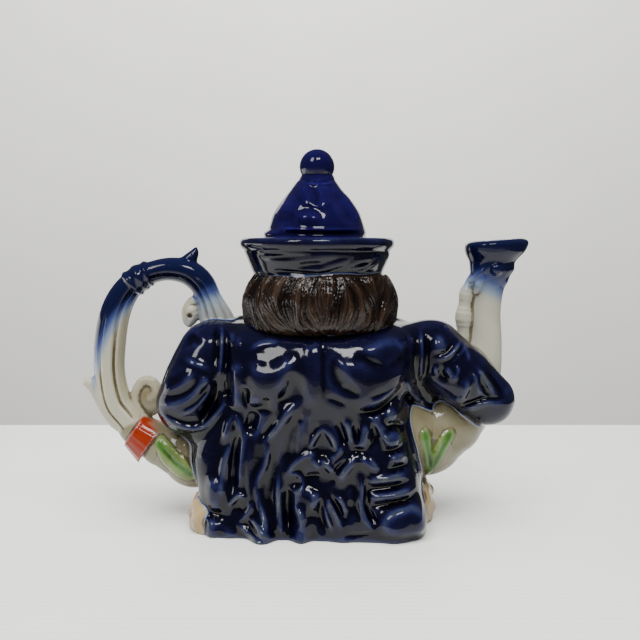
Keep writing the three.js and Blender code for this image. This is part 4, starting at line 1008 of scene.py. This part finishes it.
def mesh_from(name, points, faces):
    """A mesh from points in millimetres and faces with equal numbers of corners."""
    mesh = bpy.data.meshes.new(name)
    corners = faces.shape[1]
    mesh.vertices.add(len(points))
    mesh.vertices.foreach_set("co", (points * 0.001).astype(F).ravel())
    mesh.loops.add(faces.size)
    mesh.loops.foreach_set("vertex_index", faces.astype(np.int32).ravel())
    mesh.polygons.add(len(faces))
    mesh.polygons.foreach_set("loop_start", np.arange(0, faces.size, corners, dtype=np.int32))
    mesh.update()
    mesh.validate()
    return mesh


def object_from(name, mesh):
    obj = bpy.data.objects.new(name, mesh)
    bpy.context.scene.collection.objects.link(obj)
    return obj


def decimated(mesh, most):
    """Points and triangles of a mesh of quads, cut down to about this many triangles."""
    count = 2 * len(mesh.polygons)
    obj = object_from("work", mesh)
    triangles = obj.modifiers.new("triangles", "TRIANGULATE")
    triangles.quad_method = "SHORTEST_DIAGONAL"
    if count > most:
        obj.modifiers.new("reduce", "DECIMATE").ratio = most / count
    graph = bpy.context.evaluated_depsgraph_get()
    result = bpy.data.meshes.new_from_object(obj.evaluated_get(graph))
    points = np.empty(3 * len(result.vertices), F)
    result.vertices.foreach_get("co", points)
    faces = np.empty(3 * len(result.polygons), np.int32)
    result.polygons.foreach_get("vertices", faces)
    bpy.data.objects.remove(obj)
    bpy.data.meshes.remove(mesh)
    bpy.data.meshes.remove(result)
    return points.reshape(-1, 3) * 1000, faces.reshape(-1, 3)


def in_chunks(make, points, size=300000):
    """What make gives for the points, worked out a share at a time to save memory."""
    return np.concatenate([make(points[n : n + size]) for n in range(0, len(points), size)])


def slope(field, points, h):
    """The field's gradient at the points."""
    parts = []
    for axis in range(3):
        step = np.zeros(3, F)
        step[axis] = h
        a, b = points + step, points - step
        parts.append((field(a[:, 0], a[:, 1], a[:, 2]) - field(b[:, 0], b[:, 1], b[:, 2])) / (2 * h))
    return np.stack(parts, 1)


def settled(field, points, rounds=2):
    """The points moved onto the field's zero surface."""
    def once(p):
        for _ in range(rounds):
            g = slope(field, p, F(NORMAL_STEP))
            size = np.maximum((g * g).sum(1), 0.2)
            d = field(p[:, 0], p[:, 1], p[:, 2])
            move = np.clip(d / size, -0.5, 0.5)[:, None] * g
            p = (p - move).astype(F)
        return p

    return in_chunks(once, points)


def normals_of(field, points):
    """The field's unit normals at the points."""
    def once(p):
        g = slope(field, p, F(NORMAL_STEP))
        return g / np.maximum(np.linalg.norm(g, axis=1, keepdims=True), 1e-6)

    return in_chunks(once, points)


def bending(field, points, h):
    """How strongly the surface bends: above 0 on ridges and below 0 in grooves."""
    def once(p):
        total = -6 * field(p[:, 0], p[:, 1], p[:, 2])
        for axis in range(3):
            for way in (-h, h):
                q = p.copy()
                q[:, axis] += way
                total += field(q[:, 0], q[:, 1], q[:, 2])
        return total / (h * h)

    return in_chunks(once, points)


# Colours, in linear light.
CREAM = (0.4, 0.38, 0.29)
PAINTS = {
    "coat": (0.01, 0.014, 0.075),
    "hat": (0.01, 0.014, 0.075),
    "belly": (0.225, 0.205, 0.135),
    "handle": CREAM,
    "spout": (0.4, 0.39, 0.31),
    "cuff": (0.22, 0.02, 0.006),
    "legs": (0.24, 0.15, 0.06),
    "shoes": (0.02, 0.015, 0.012),
    "skin": (0.62, 0.38, 0.26),
    "ground": (0.34, 0.25, 0.13),
    "hair": (0.035, 0.018, 0.01),
    "cloth": (0.4, 0.04, 0.02),
    "buttons": (0.5, 0.36, 0.1),
    "inside": (0.6, 0.58, 0.5),
}
STAIN = (0.62, 0.56, 0.42)
SEAM = 0.4  # width over which one part's colour runs into the next
AWAY = 99.0  # distance to a part that isn't there
LEAF_PALE = (0.18, 0.25, 0.075)
LEAF_DEEP = (0.055, 0.15, 0.025)
LEFT_VEIN = [(-83, 41), (-75, 33.5), (-66.5, 27)]
RIGHT_VEINS = [[(55.5, 49), (58, 37.5), (59, 28)], [(68.5, 47.5), (63.5, 37.5), (59.5, 28)]]


def handle_blue(x, z, w):
    """Share of cobalt on the handle, where w is the place across it, -1 and 1 at its edges."""
    t = STRAP_SHARE.at(x, z)
    lean = 0.1 * np.clip(w, -1, 1)
    foot = rise(0.22 + lean, 0.42 + lean, t) * rise(0.93, 0.76, t) * rise(1.3, 1.02, np.abs(w))
    lower = 0.2 * rise(0.86, 0.92, t)
    return np.clip(np.maximum(foot, rise(128, 136, z)) + lower, 0, 0.93)


def spout_blue(x, z):
    across = SPOUT_ACROSS.at(x, z) / SPOUT_HALF.at(x, z)
    return 0.94 * rise(111, 137, z + 3.5 * np.clip(across, -1, 1))


def leaf_share(x, y, z):
    outline = np.minimum(outline_distance(x, z, LEFT_LEAF), outline_distance(x, z, RIGHT_LEAF))
    return rise(1.2, 0.2, outline) * rise(14, 6, y)


def leaf_green(x, z):
    """The leaves' colour, deeper along their veins."""
    vein = np.min([line_distance(x, z, line) for line in (LEFT_VEIN, *RIGHT_VEINS)], axis=0)
    return mix(np.array(LEAF_PALE), np.array(LEAF_DEEP), rise(3.4, 0.6, vein)[:, None])


def painted(points):
    """Rows of colour and share of cobalt, then the part, and the shares of hair and of hat."""
    names = sorted(PAINTS)

    def once(p):
        x, y, z = p[:, 0], p[:, 1], p[:, 2]
        distances = {name: np.full(x.shape, AWAY, F) for name in names}
        for name, d, _ in shapes(x, y, z):
            distances[name] = np.minimum(distances[name], d)
        outside = np.min([distances[n] for n in names], axis=0)
        inner = np.minimum(cavity(x, y, z), bored(x, y, z))
        distances["inside"] = np.where(np.abs(inner) < np.abs(outside), -5.0, AWAY)
        stack = np.stack([distances[n] for n in names])
        least = stack.min(0)
        weights = np.clip(1 - (stack - least) / SEAM, 0, 1)
        weights /= weights.sum(0)
        share = {n: weights[i] for i, n in enumerate(names)}
        t = STRAP_SHARE.at(x, z)
        w = np.clip(STRAP_SIDE.at(x, z) / STRAP_HALF.at(x, z), -2, 2)
        blue = share["coat"] + share["hat"]
        blue = blue + share["handle"] * handle_blue(x, z, w)
        blue = blue + share["spout"] * spout_blue(x, z)
        colour = weights.T @ np.array([PAINTS[n] for n in names])
        leaf = leaf_share(x, y, z) * share["belly"]
        colour = mix(colour, leaf_green(x, z), leaf[:, None])
        stain = share["handle"] * rise(0.3, 0.55, w) * rise(0.5, 0.4, t) * 0.45
        stain = stain + share["belly"] * (0.3 + 0.3 * wobble(x, y, z, 5, 41))
        colour = mix(colour, colour * STAIN, np.clip(stain, 0, 1)[:, None])
        part = np.argmax(weights, axis=0)
        return np.column_stack([colour, np.clip(blue, 0, 1), part, share["hair"], share["hat"]])

    return in_chunks(once, points, POINTS_AT_ONCE), names


def smooth(mesh):
    mesh.polygons.foreach_set("use_smooth", np.ones(len(mesh.polygons), bool))


def attributes(mesh, tint, relief):
    """Tint is the colour and the share of cobalt. Relief is sharp bending, broad bending with painted light
    on upward faces added on the pot, hair and hat.
    """
    for name, values in (("tint", tint), ("relief", relief)):
        layer = mesh.attributes.new(name, "FLOAT_COLOR", "POINT")
        layer.data.foreach_set("color", values.astype(F).ravel())


def glazed_object(name, points, faces, normals, tint, relief, keep):
    """The faces marked in keep as an object of their own, with smooth normals and glaze attributes."""
    chosen = faces[keep]
    used, index = np.unique(chosen.ravel(), return_inverse=True)
    mesh = mesh_from(name, points[used], index.reshape(-1, 3))
    smooth(mesh)
    mesh.normals_split_custom_set_from_vertices(normals[used])
    attributes(mesh, tint[used], relief[used])
    return object_from(name, mesh)


# Glaze materials, from nodes.
class Nodes:
    """A material and short ways to add nodes to it."""

    def __init__(self, name):
        self.material = bpy.data.materials.new(name)
        self.material.use_nodes = True
        self.tree = self.material.node_tree
        self.tree.nodes.clear()

    def add(self, kind, inputs=None, **settings):
        node = self.tree.nodes.new(kind)
        for key, value in settings.items():
            setattr(node, key, value)
        for key, value in (inputs or {}).items():
            self.feed(node.inputs[key], value)
        return node

    def feed(self, socket, value):
        if isinstance(value, bpy.types.NodeSocket):
            self.tree.links.new(value, socket)
        elif hasattr(socket, "default_value"):
            if socket.type == "RGBA" and len(value) == 3:
                value = (*value, 1)
            socket.default_value = value

    def math(self, operation, *values):
        node = self.add("ShaderNodeMath", operation=operation)
        for socket, value in zip(node.inputs, values):
            self.feed(socket, value)
        return node.outputs[0]

    def span(self, value, low, high, to_low=0.0, to_high=1.0):
        """Smoothly from to_low at low to to_high at high."""
        ends = {"From Min": low, "From Max": high, "To Min": to_low, "To Max": to_high}
        node = self.add("ShaderNodeMapRange", {"Value": value, **ends}, interpolation_type="SMOOTHSTEP")
        return node.outputs["Result"]

    def blend(self, share, a, b, mode="MIX"):
        node = self.add("ShaderNodeMix", data_type="RGBA", blend_type=mode)
        self.feed(node.inputs[0], share)
        self.feed(node.inputs[6], a)
        self.feed(node.inputs[7], b)
        return node.outputs[2]

    def noise(self, scale, detail=3.0, roughness=0.5, where=None, distortion=0.0):
        look = {"Scale": scale, "Detail": detail, "Roughness": roughness, "Distortion": distortion}
        node = self.add("ShaderNodeTexNoise", look)
        if where is not None:
            self.feed(node.inputs["Vector"], where)
        return node.outputs["Fac"]

    def ramp(self, value, stops):
        node = self.add("ShaderNodeValToRGB", {"Fac": value})
        points = node.color_ramp.elements
        while len(points) < len(stops):
            points.new(0.5)
        for point, (place, colour) in zip(points, stops):
            point.position = place
            point.color = (*colour, 1)
        return node.outputs["Color"]

    def tinted(self, share, colour, by):
        """The colour, multiplied by another one to this share."""
        return self.blend(share, colour, self.blend(1.0, colour, by, "MULTIPLY"))

    def bump(self, strength, distance, height):
        inputs = {"Strength": strength, "Distance": distance, "Height": height}
        return self.add("ShaderNodeBump", inputs).outputs["Normal"]

    def finish(self, **inputs):
        """The material, with a principled shader of these inputs as its surface."""
        named = {key.replace("_", " "): value for key, value in inputs.items()}
        shader = self.add("ShaderNodeBsdfPrincipled", named)
        self.add("ShaderNodeOutputMaterial", {"Surface": shader.outputs[0]})
        return self.material


# Ramps: cobalt by how thickly it pools together with painted light on upward faces, the sprayed blue by its
# share, and the brown of the hair.
COBALT = [
    (0.0, (0.0004, 0.0004, 0.0018)),
    (0.34, (0.0008, 0.0008, 0.004)),
    (0.54, (0.0018, 0.0016, 0.0085)),
    (0.68, (0.0038, 0.0037, 0.019)),
    (0.8, (0.0095, 0.0115, 0.048)),
    (0.9, (0.026, 0.031, 0.05)),
    (1.0, (0.075, 0.08, 0.07)),
]
SPRAY = [
    (0.0, CREAM),
    (0.3, (0.2, 0.25, 0.32)),
    (0.6, (0.04, 0.058, 0.17)),
    (0.82, (0.006, 0.008, 0.045)),
    (1.0, (0.002, 0.0025, 0.012)),
]
BROWN = [
    (0.0, (0.002, 0.001, 0.0008)),
    (0.4, (0.008, 0.0045, 0.003)),
    (0.62, (0.017, 0.0095, 0.006)),
    (0.9, (0.034, 0.02, 0.013)),
]
LID_COBALT = (4.6, 2.3, 8.0)
# The colour that the cream is darkened by in its grooves.
GROOVE_TONE = (0.3, 0.25, 0.18)
CLOUD = (0.72, 0.68, 0.58)
WORN = (0.8, 0.78, 0.72)


def cream_glaze(n, tint, sharp, cloudy):
    """The painted colour, darker in its grooves, clouded, and worn paler on its ridges."""
    # Darker where the surface bends into a groove.
    groove_darkening = n.math("MULTIPLY", n.span(sharp, 0.46, 0.22), n.span(cloudy, 0.3, 0.6, 0.7, 1.0))
    cream = n.tinted(groove_darkening, tint, GROOVE_TONE)
    cream = n.tinted(n.span(cloudy, 0.35, 0.75, 0.0, 0.25), cream, CLOUD)
    return n.blend(n.span(sharp, 0.62, 0.95, 0.0, 0.08), cream, WORN)


def uneven(n, where):
    """Ripples and pits of a poured glaze."""
    fine = n.math("MULTIPLY", n.noise(260, 2, 0.5, where), 0.7)
    ripple = n.math("ADD", fine, n.math("MULTIPLY", n.noise(90, 1, 0.5, where), 1.6))
    pits = n.math("MULTIPLY", n.span(n.noise(900, 1, 0.5, where), 0.74, 0.82), -0.35)
    return n.math("ADD", ripple, pits)


def glaze(name, lid):
    n = Nodes(name)
    where = n.add("ShaderNodeTexCoord").outputs["Object"]
    tint = n.add("ShaderNodeAttribute", attribute_name="tint")
    relief = n.add("ShaderNodeAttribute", attribute_name="relief").outputs["Color"]
    sharp, broad_bend_and_top_light, hairy = n.add("ShaderNodeSeparateColor", {"Color": relief}).outputs
    blue = tint.outputs["Alpha"]
    cloudy = n.noise(70, 4, 0.55, where)
    streaks = n.noise(210, 3, 0.6, where, 0.6)
    specks = n.noise(900, 2, 0.5, where)
    # How thickly the cobalt pools from the bending, with painted light from above on the pot's upward faces.
    pooling_and_top_light = n.math("ADD", n.math("MULTIPLY", sharp, 0.25), n.math("MULTIPLY", broad_bend_and_top_light, 0.6))
    pooling_and_top_light = n.math("MULTIPLY_ADD", cloudy, 0.34, pooling_and_top_light)
    pooling_and_top_light = n.math("ADD", pooling_and_top_light, n.math("MULTIPLY_ADD", streaks, 0.14, -0.175))
    cobalt = n.ramp(pooling_and_top_light, COBALT)
    if lid:
        cobalt = n.tinted(0.55, cobalt, LID_COBALT)
    cream = cream_glaze(n, tint.outputs["Color"], sharp, cloudy)
    shaded = n.blend(n.span(blue, 0.02, 0.32), cream, n.ramp(blue, SPRAY))
    body = n.blend(n.span(blue, 0.95, 1.0), shaded, cobalt)
    brown = n.ramp(n.math("MULTIPLY_ADD", specks, 0.2, n.math("SUBTRACT", sharp, 0.1)), BROWN)
    return n.finish(
        Base_Color=n.blend(hairy, body, brown),
        Roughness=n.span(cloudy, 0.3, 0.75, 0.045, 0.11),
        IOR=1.4,
        Normal=n.bump(0.16, 0.0006, uneven(n, where)),
    )


def dress(obj, material, node):
    obj.data.materials.clear()
    obj.data.materials.append(material)
    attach(obj, "root")
    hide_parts(node)


# The box that the pot is sampled in, and the columns of what painted() gives.
POT_LOW, POT_HIGH = (-128, -49, -3), (116, 74, 153)
TINT, PART, HAIRY, HATTED = slice(0, 4), 4, 5, 6
WITH_COAT = ("coat", "legs", "shoes", "ground", "cuff", "belly")


def bent(points, reach, most):
    """How the pot bends at the points, as 0 in grooves, 0.5 where it is flat and 1 on ridges."""
    return np.clip(0.5 + 0.5 * bending(pot, points, F(reach)) / most, 0, 1)


def build_pot(material):
    points, quads = netted(sampled(pot, POT_LOW, POT_HIGH, CELL), POT_LOW, CELL)
    points, faces = decimated(mesh_from("net", points, quads), FACES_KEPT)
    points = settled(pot, points)
    normals = normals_of(pot, points)
    paint, names = painted(points)
    hat = paint[:, HATTED]
    plain = 1 - 0.7 * hat
    sharp = 0.5 + (bent(points, 1.1, 0.9) - 0.5) * plain
    # Painted light from above: faces that look upward are glazed lighter and bluer.
    painted_top_light = 0.15 * np.clip(normals[:, 2], 0, 0.9)
    broad_bend_and_top_light = np.clip(0.5 + 0.1 * hat + (bent(points, 3.2, 0.35) - 0.5) * plain + painted_top_light, 0, 1)
    relief = np.column_stack([sharp, broad_bend_and_top_light, paint[:, HAIRY], hat])
    part = paint[:, PART].astype(int)[faces[:, 0]]
    middle = points[faces].mean(1)
    coated = np.array([name in WITH_COAT for name in names])[part]
    inner = part == names.index("inside")
    front = middle[:, 1] > 2
    sets = {
        "coat_back_left": coated & ~front & (middle[:, 0] < 2),
        "coat_back_right": coated & ~front & (middle[:, 0] >= 2),
        "coat_front": coated & front,
        "inside": inner,
        "hair_hat_and_spouts": ~coated & ~inner,
    }
    for name, keep in sets.items():
        obj = glazed_object(name, points, faces, normals, paint[:, TINT], relief, keep)
        print("piece", name, int(keep.sum()))
        dress(obj, material, "teapot_body")


# How far round and from how low to how high the strands reach, in degrees, and the steps that find them.
HAIR_AROUND = 122
HAIR_LIFT = (-34, 24)
HALVINGS = 18


def build_hair(material):
    """The hair's strands as a fine shell over the shape of the hair in the pot."""
    turns, rows = ((720, 130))
    around = np.radians(np.linspace(-HAIR_AROUND, HAIR_AROUND, turns))[:, None]
    lift = np.radians(np.linspace(*HAIR_LIFT, rows))[None, :]
    level = np.cos(lift)
    way = np.stack([np.sin(around) * level, -np.cos(around) * level, np.sin(lift) + 0 * around], -1)
    way = way.reshape(-1, 3).astype(F)
    middle = np.array(HAIR_MIDDLE, F)
    near, far = np.full(len(way), 6.0, F), np.full(len(way), 60.0, F)
    for _ in range(HALVINGS):
        reach = (near + far) / 2
        p = middle + way * reach[:, None]
        outside = hair(p[:, 0], p[:, 1], p[:, 2]) > 0
        near, far = np.where(outside, near, reach), np.where(outside, reach, far)
    points = middle + way * ((near + far) / 2)[:, None]
    out = normals_of(hair, points)
    u = np.arctan2(points[:, 0] - 2, -points[:, 1] - 2) * 38
    strands = HAIR.at(u, points[:, 2])
    points = points + out * strands[:, None]
    i, j = np.meshgrid(np.arange(turns - 1), np.arange(rows - 1), indexing="ij")
    a, b, c, d = i * rows + j, (i + 1) * rows + j, (i + 1) * rows + j + 1, i * rows + j + 1
    faces = np.concatenate([np.stack(t, -1).reshape(-1, 3) for t in ((a, b, c), (a, c, d))])
    mesh = mesh_from("hair_strands", points, faces)
    smooth(mesh)
    ones = np.ones(len(points))
    tint = np.column_stack([np.tile(PAINTS["hair"], (len(points), 1)), 0 * ones])
    sharp = np.clip(0.5 + 0.75 * strands, 0, 1)
    attributes(mesh, tint, np.column_stack([sharp, sharp, ones, 0 * ones]))
    print("piece hair_strands", len(faces))
    dress(object_from("hair_strands", mesh), material, "teapot_body")


# The lid: a turned shell whose crown is pressed in folds. CROWN has its height and radius as shares.
SEAT_GAP = 0.3
LID_RADIUS = 27.5
LID_WALL = 3.2
CROWN_HEIGHT = 35.5
KNOB_RADIUS = 9.15
KNOB_SINK = 2.3
RING_RADIUS = 23.9
RING_INSIDE = 21.1
RING_DEPTH = 8
RING_BEVEL = 0.6
CROWN = [
    (0, 0.99), (0.07, 0.985), (0.19, 0.94), (0.34, 0.89), (0.49, 0.825), (0.62, 0.735), (0.74, 0.62),
    (0.85, 0.51), (0.95, 0.415), (1, 0.355),
]
CROWN_STROKES = [
    (4.5, 0.9, -9, 178, -5.5, 172, -3, 165),
    (3.4, -0.9, -3.5, 177, -1.5, 171.5, 0.5, 165),
    (4, 0.9, 1.5, 177, 3.5, 170.5, 4, 163.5),
    (5, -1.3, 8, 173, 14, 164, 18.5, 156),
    (4, 1, 12, 174, 18, 165, 22, 157),
    (4.4, 1, -9, 158, -4, 160.5, 2, 158),
    (3.5, -0.8, -11, 163, -3, 163, 5, 160.5),
    (5, -1, -21, 160, -15, 158.8, -10, 157.4),
    (4.4, 0.8, -13, 169, -19, 158),
    (1.8, -0.8, -27, 152.3, -8, 151.9, 10, 151.7, 27, 152.3),
    (1.6, 0.6, -25, 154, -8, 153.6, 10, 153.4, 25, 154),
    (1.2, -0.5, -10, 179.5, 0, 178.3, 10, 179.5),
    (1.2, 0.4, -10, 177.8, 0, 176.6, 10, 177.8),
]


def lid_outline():
    """Radius and height from the hollow's top, round the ring and up the crown, and where the hollow ends."""
    base = SEAT + SEAT_GAP
    top = base + CROWN_HEIGHT
    low, bevel = base - RING_DEPTH, RING_BEVEL
    hollow = RING_INSIDE
    middle = [(s, w) for s, w in CROWN if 0.3 < s < 0.9]
    wall = [(min(hollow, w * LID_RADIUS - 3.7), base + s * CROWN_HEIGHT - 1.3) for s, w in middle]
    outline = [(0, top - LID_WALL), *wall[::-1], (hollow, base), (hollow, low + bevel), (hollow + bevel, low)]
    outline += [(RING_RADIUS - bevel, low), (RING_RADIUS, low + bevel), (RING_RADIUS, base)]
    outline.append((LID_RADIUS * 0.965, base))
    crown = along(CROWN, np.linspace(0, 1, 70))
    outline += [(float(w) * LID_RADIUS, base + 0.5 + float(s) * (CROWN_HEIGHT - 0.5)) for s, w in crown]
    knob = base + CROWN_HEIGHT + KNOB_RADIUS - KNOB_SINK
    for angle in np.radians(np.linspace(-26, 88, 40)):
        outline.append((KNOB_RADIUS * math.cos(angle), knob + KNOB_RADIUS * math.sin(angle)))
    outline.append((0, knob + KNOB_RADIUS))
    return np.array(outline, float), len(wall) + 8


def finely(outline, step):
    """The outline with points at most about a step apart, without its two ends on the axis."""
    dense = [outline[0]]
    for a, b in zip(outline, outline[1:]):
        count = max(1, int(np.linalg.norm(b - a) / step))
        dense += [a + (b - a) * (k + 1) / count for k in range(count)]
    return np.array(dense)[1:-1]


def pressed(x, y, z, angles, outer):
    """How far the crown is pressed out at each place: its folds, its unevenness and the step at its foot."""
    base = SEAT + SEAT_GAP
    crown_only = rise(181.5, 178, z)
    push = drawn((-30, 140), (30, 200), CROWN_STROKES).at(x, z) * rise(2, -6, y) * crown_only
    push += 0.55 * wobble(x, y, z, 13, 31) * crown_only + 0.06 * wobble(x, y, z, 5, 32)
    push += 2.4 * rise(154.5, 151.5, z) * rise(0.5, 1, -np.cos(angles))
    push -= 0.9 * rise(0.8, 0, np.abs(z - 150.6) / 2) * rise(148.5, 150, z)
    return push * (rise(base + 0.5, base + 3.5, z) * outer)


def turned_faces(rows, turns):
    """Triangles of a grid of rows round an axis, closed by one point below and one above."""
    i, j = np.meshgrid(np.arange(rows - 1), np.arange(turns), indexing="ij")
    after = (j + 1) % turns
    low, high = i * turns, (i + 1) * turns
    quads = np.stack([low + j, low + after, high + after, high + j], -1).reshape(-1, 4)
    k = np.arange(turns)
    after = (k + 1) % turns
    bottom = np.stack([np.full(turns, rows * turns), after, k], 1)
    last = (rows - 1) * turns
    top = np.stack([np.full(turns, rows * turns + 1), last + k, last + after], 1)
    return np.concatenate([quads[:, [0, 1, 2]], quads[:, [0, 2, 3]], bottom, top])


def grid_bending(grid, normals):
    """How the turned grid bends at each point, from its neighbours up, down and to either side."""
    bend = np.zeros(grid.shape[:2])
    for shift in ((2, 0), (-2, 0), (0, 3), (0, -3)):
        other = np.roll(grid, shift, (0, 1)) - grid
        bend -= (other * normals).sum(-1) / np.maximum((other**2).sum(-1), 0.3)
    bend[:3] = bend[-3:] = 0
    return bend


def build_lid(material):
    outline, hollow_points = lid_outline()
    dense = finely(outline, 0.7)
    rows, turns = len(dense), 320
    angles = np.arange(turns) * 2 * math.pi / turns
    r, z = dense[:, 0][:, None], dense[:, 1][:, None]
    x, y = r * np.cos(angles), r * np.sin(angles)
    z = np.repeat(z, turns, 1)
    push = pressed(x, y, z, angles, (np.arange(rows) > hollow_points)[:, None])
    x, y = x + push * np.cos(angles), y + push * np.sin(angles)
    grid = np.stack([x, y, z], -1)
    ends = np.array([[0, 0, dense[0, 1]], [0, 0, dense[-1, 1]]])
    points = np.vstack([grid.reshape(-1, 3), ends])
    triangles = turned_faces(rows, turns)
    mesh = mesh_from("hat_crown", points, triangles)
    smooth(mesh)
    mesh.set_sharp_from_angle(angle=math.radians(50))
    normals = np.empty(3 * len(points), F)
    mesh.vertices.foreach_get("normal", normals)
    normals = normals.reshape(-1, 3)[: rows * turns].reshape(rows, turns, 3)
    bend = grid_bending(grid, normals)
    sharp = np.append(np.clip(0.5 + 0.5 * (bend.ravel() - 0.15) / 1.1, 0, 1), [0.5, 0.5])
    ones = np.ones(len(points))
    tint = np.column_stack([np.tile(PAINTS["coat"], (len(points), 1)), ones])
    attributes(mesh, tint, np.column_stack([sharp, sharp * 0.6 + 0.2, 0 * ones, ones]))
    print("piece hat_crown", len(triangles))
    dress(object_from("hat_crown", mesh), material, "hat_lid")


POT_GLAZE = glaze("pot_glaze", False)
build_pot(POT_GLAZE)
build_hair(POT_GLAZE)
build_lid(glaze("crown_glaze", True))


# The table, the wall behind it, the camera and the light, in metres.
def table_paint():
    """Pale laminate with fine ribs, and painted shade that darkens it towards its near edge."""
    n = Nodes("table_top")
    where = n.add("ShaderNodeTexCoord").outputs["Object"]
    depth = n.add("ShaderNodeSeparateXYZ", {"Vector": where}).outputs[1]
    lined = n.math("MULTIPLY_ADD", n.math("SINE", n.math("MULTIPLY", depth, 1500)), 0.5, 0.5)
    colour = n.blend(n.math("MULTIPLY", lined, 0.6), (0.79, 0.795, 0.77), (0.71, 0.715, 0.69))
    colour = n.blend(n.span(n.noise(9, 3, 0.5, where), 0.35, 0.7, 0.0, 0.3), colour, (0.69, 0.69, 0.66))
    # Painted shade: the near part of the table is darkened as if in shadow.
    colour = n.tinted(n.span(depth, -0.15, -0.23), colour, (0.5, 0.5, 0.52))
    return n.finish(Base_Color=colour, Roughness=0.38, Normal=n.bump(0.12, 0.0004, lined))


def wall_paint():
    n = Nodes("wall_paint")
    where = n.add("ShaderNodeTexCoord").outputs["Object"]
    cloudy = n.span(n.noise(5, 4, 0.6, where), 0.3, 0.7)
    tone = n.blend(cloudy, (0.97, 0.955, 0.9), (0.94, 0.925, 0.87))
    return n.finish(Base_Color=tone, Roughness=0.5, Normal=n.bump(0.05, 0.001, n.noise(40, 3, 0.6, where)))


def shade_floor_paint():
    # A dark sheet of painted shade, standing in for the shadowed near table and room around the camera.
    n = Nodes("shade_floor")
    painted_shade_tone = n.blend(n.noise(30, 3, 0.5), (0.085, 0.085, 0.08), (0.12, 0.12, 0.115))
    return n.finish(Base_Color=painted_shade_tone, Roughness=0.8)


def flat(name, corners, material):
    mesh = bpy.data.meshes.new(name)
    mesh.from_pydata(corners, [], [(0, 1, 2, 3)])
    obj = object_from(name, mesh)
    mesh.materials.append(material)


def level(low, high, z):
    """The corners of a level rectangle."""
    return [(low[0], low[1], z), (high[0], low[1], z), (high[0], high[1], z), (low[0], high[1], z)]


def backdrop():
    left, near, far, right = -1.6, -0.4, 0.235, 0.4
    wall, side, low, high = 1.1, 0.6, -0.22, 0.62
    upright = [(-side, wall, low), (side, wall, low), (side, wall, high), (-side, wall, high)]
    # Painted shade: a dark sheet beyond the table's near edge.
    flat("shade_floor", level((left, -1.8), (-left, near), -0.02), shade_floor_paint())
    flat("table", level((left, near), (right, far), 0), table_paint())
    flat("wall", upright, wall_paint())


def lamp(name, place, aim, size, power, seen=True):
    data = bpy.data.lights.new(name, "AREA")
    data.shape = "RECTANGLE"
    data.size, data.size_y = size
    data.energy = power
    obj = object_from(name, data)
    obj.location = place
    obj.rotation_mode = "QUATERNION"
    obj.rotation_quaternion = (Vector(aim) - Vector(place)).to_track_quat("-Z", "Y")
    obj.visible_glossy = seen


def lighting():
    world = bpy.data.worlds.new("room")
    world.use_nodes = True
    background = world.node_tree.nodes["Background"]
    background.inputs["Color"].default_value = (0.9, 0.95, 1.0, 1)
    background.inputs["Strength"].default_value = 0.1
    bpy.context.scene.world = world
    lamp("ceiling", (0.0, -0.35, 1.5), (0, 0.05, 0), (1.8, 1.4), 62, seen=False)
    lamp("wall_wash", (0.0, 0.5, 1.2), (0, 1.1, 0.15), (1.2, 0.3), 9, seen=False)
    lamp("window_left", (-0.62, -0.75, 1.05), (0, 0, 0.08), (0.34, 0.5), 6)
    lamp("window_right", (0.14, -0.8, 1.1), (0, 0, 0.08), (0.42, 0.24), 6)
    lamp("side_glow", (-0.47, 0.14, 0.075), (0, 0, 0.09), (0.42, 0.14), 0.55)


def camera():
    data = bpy.data.cameras.new("camera")
    data.lens = LENS
    data.sensor_width = FILM
    obj = object_from("camera", data)
    obj.location = Vector(EYE) * 0.001
    obj.rotation_euler = (math.radians(90 - TILT), 0, 0)
    bpy.context.scene.camera = obj


backdrop()
lighting()
camera()
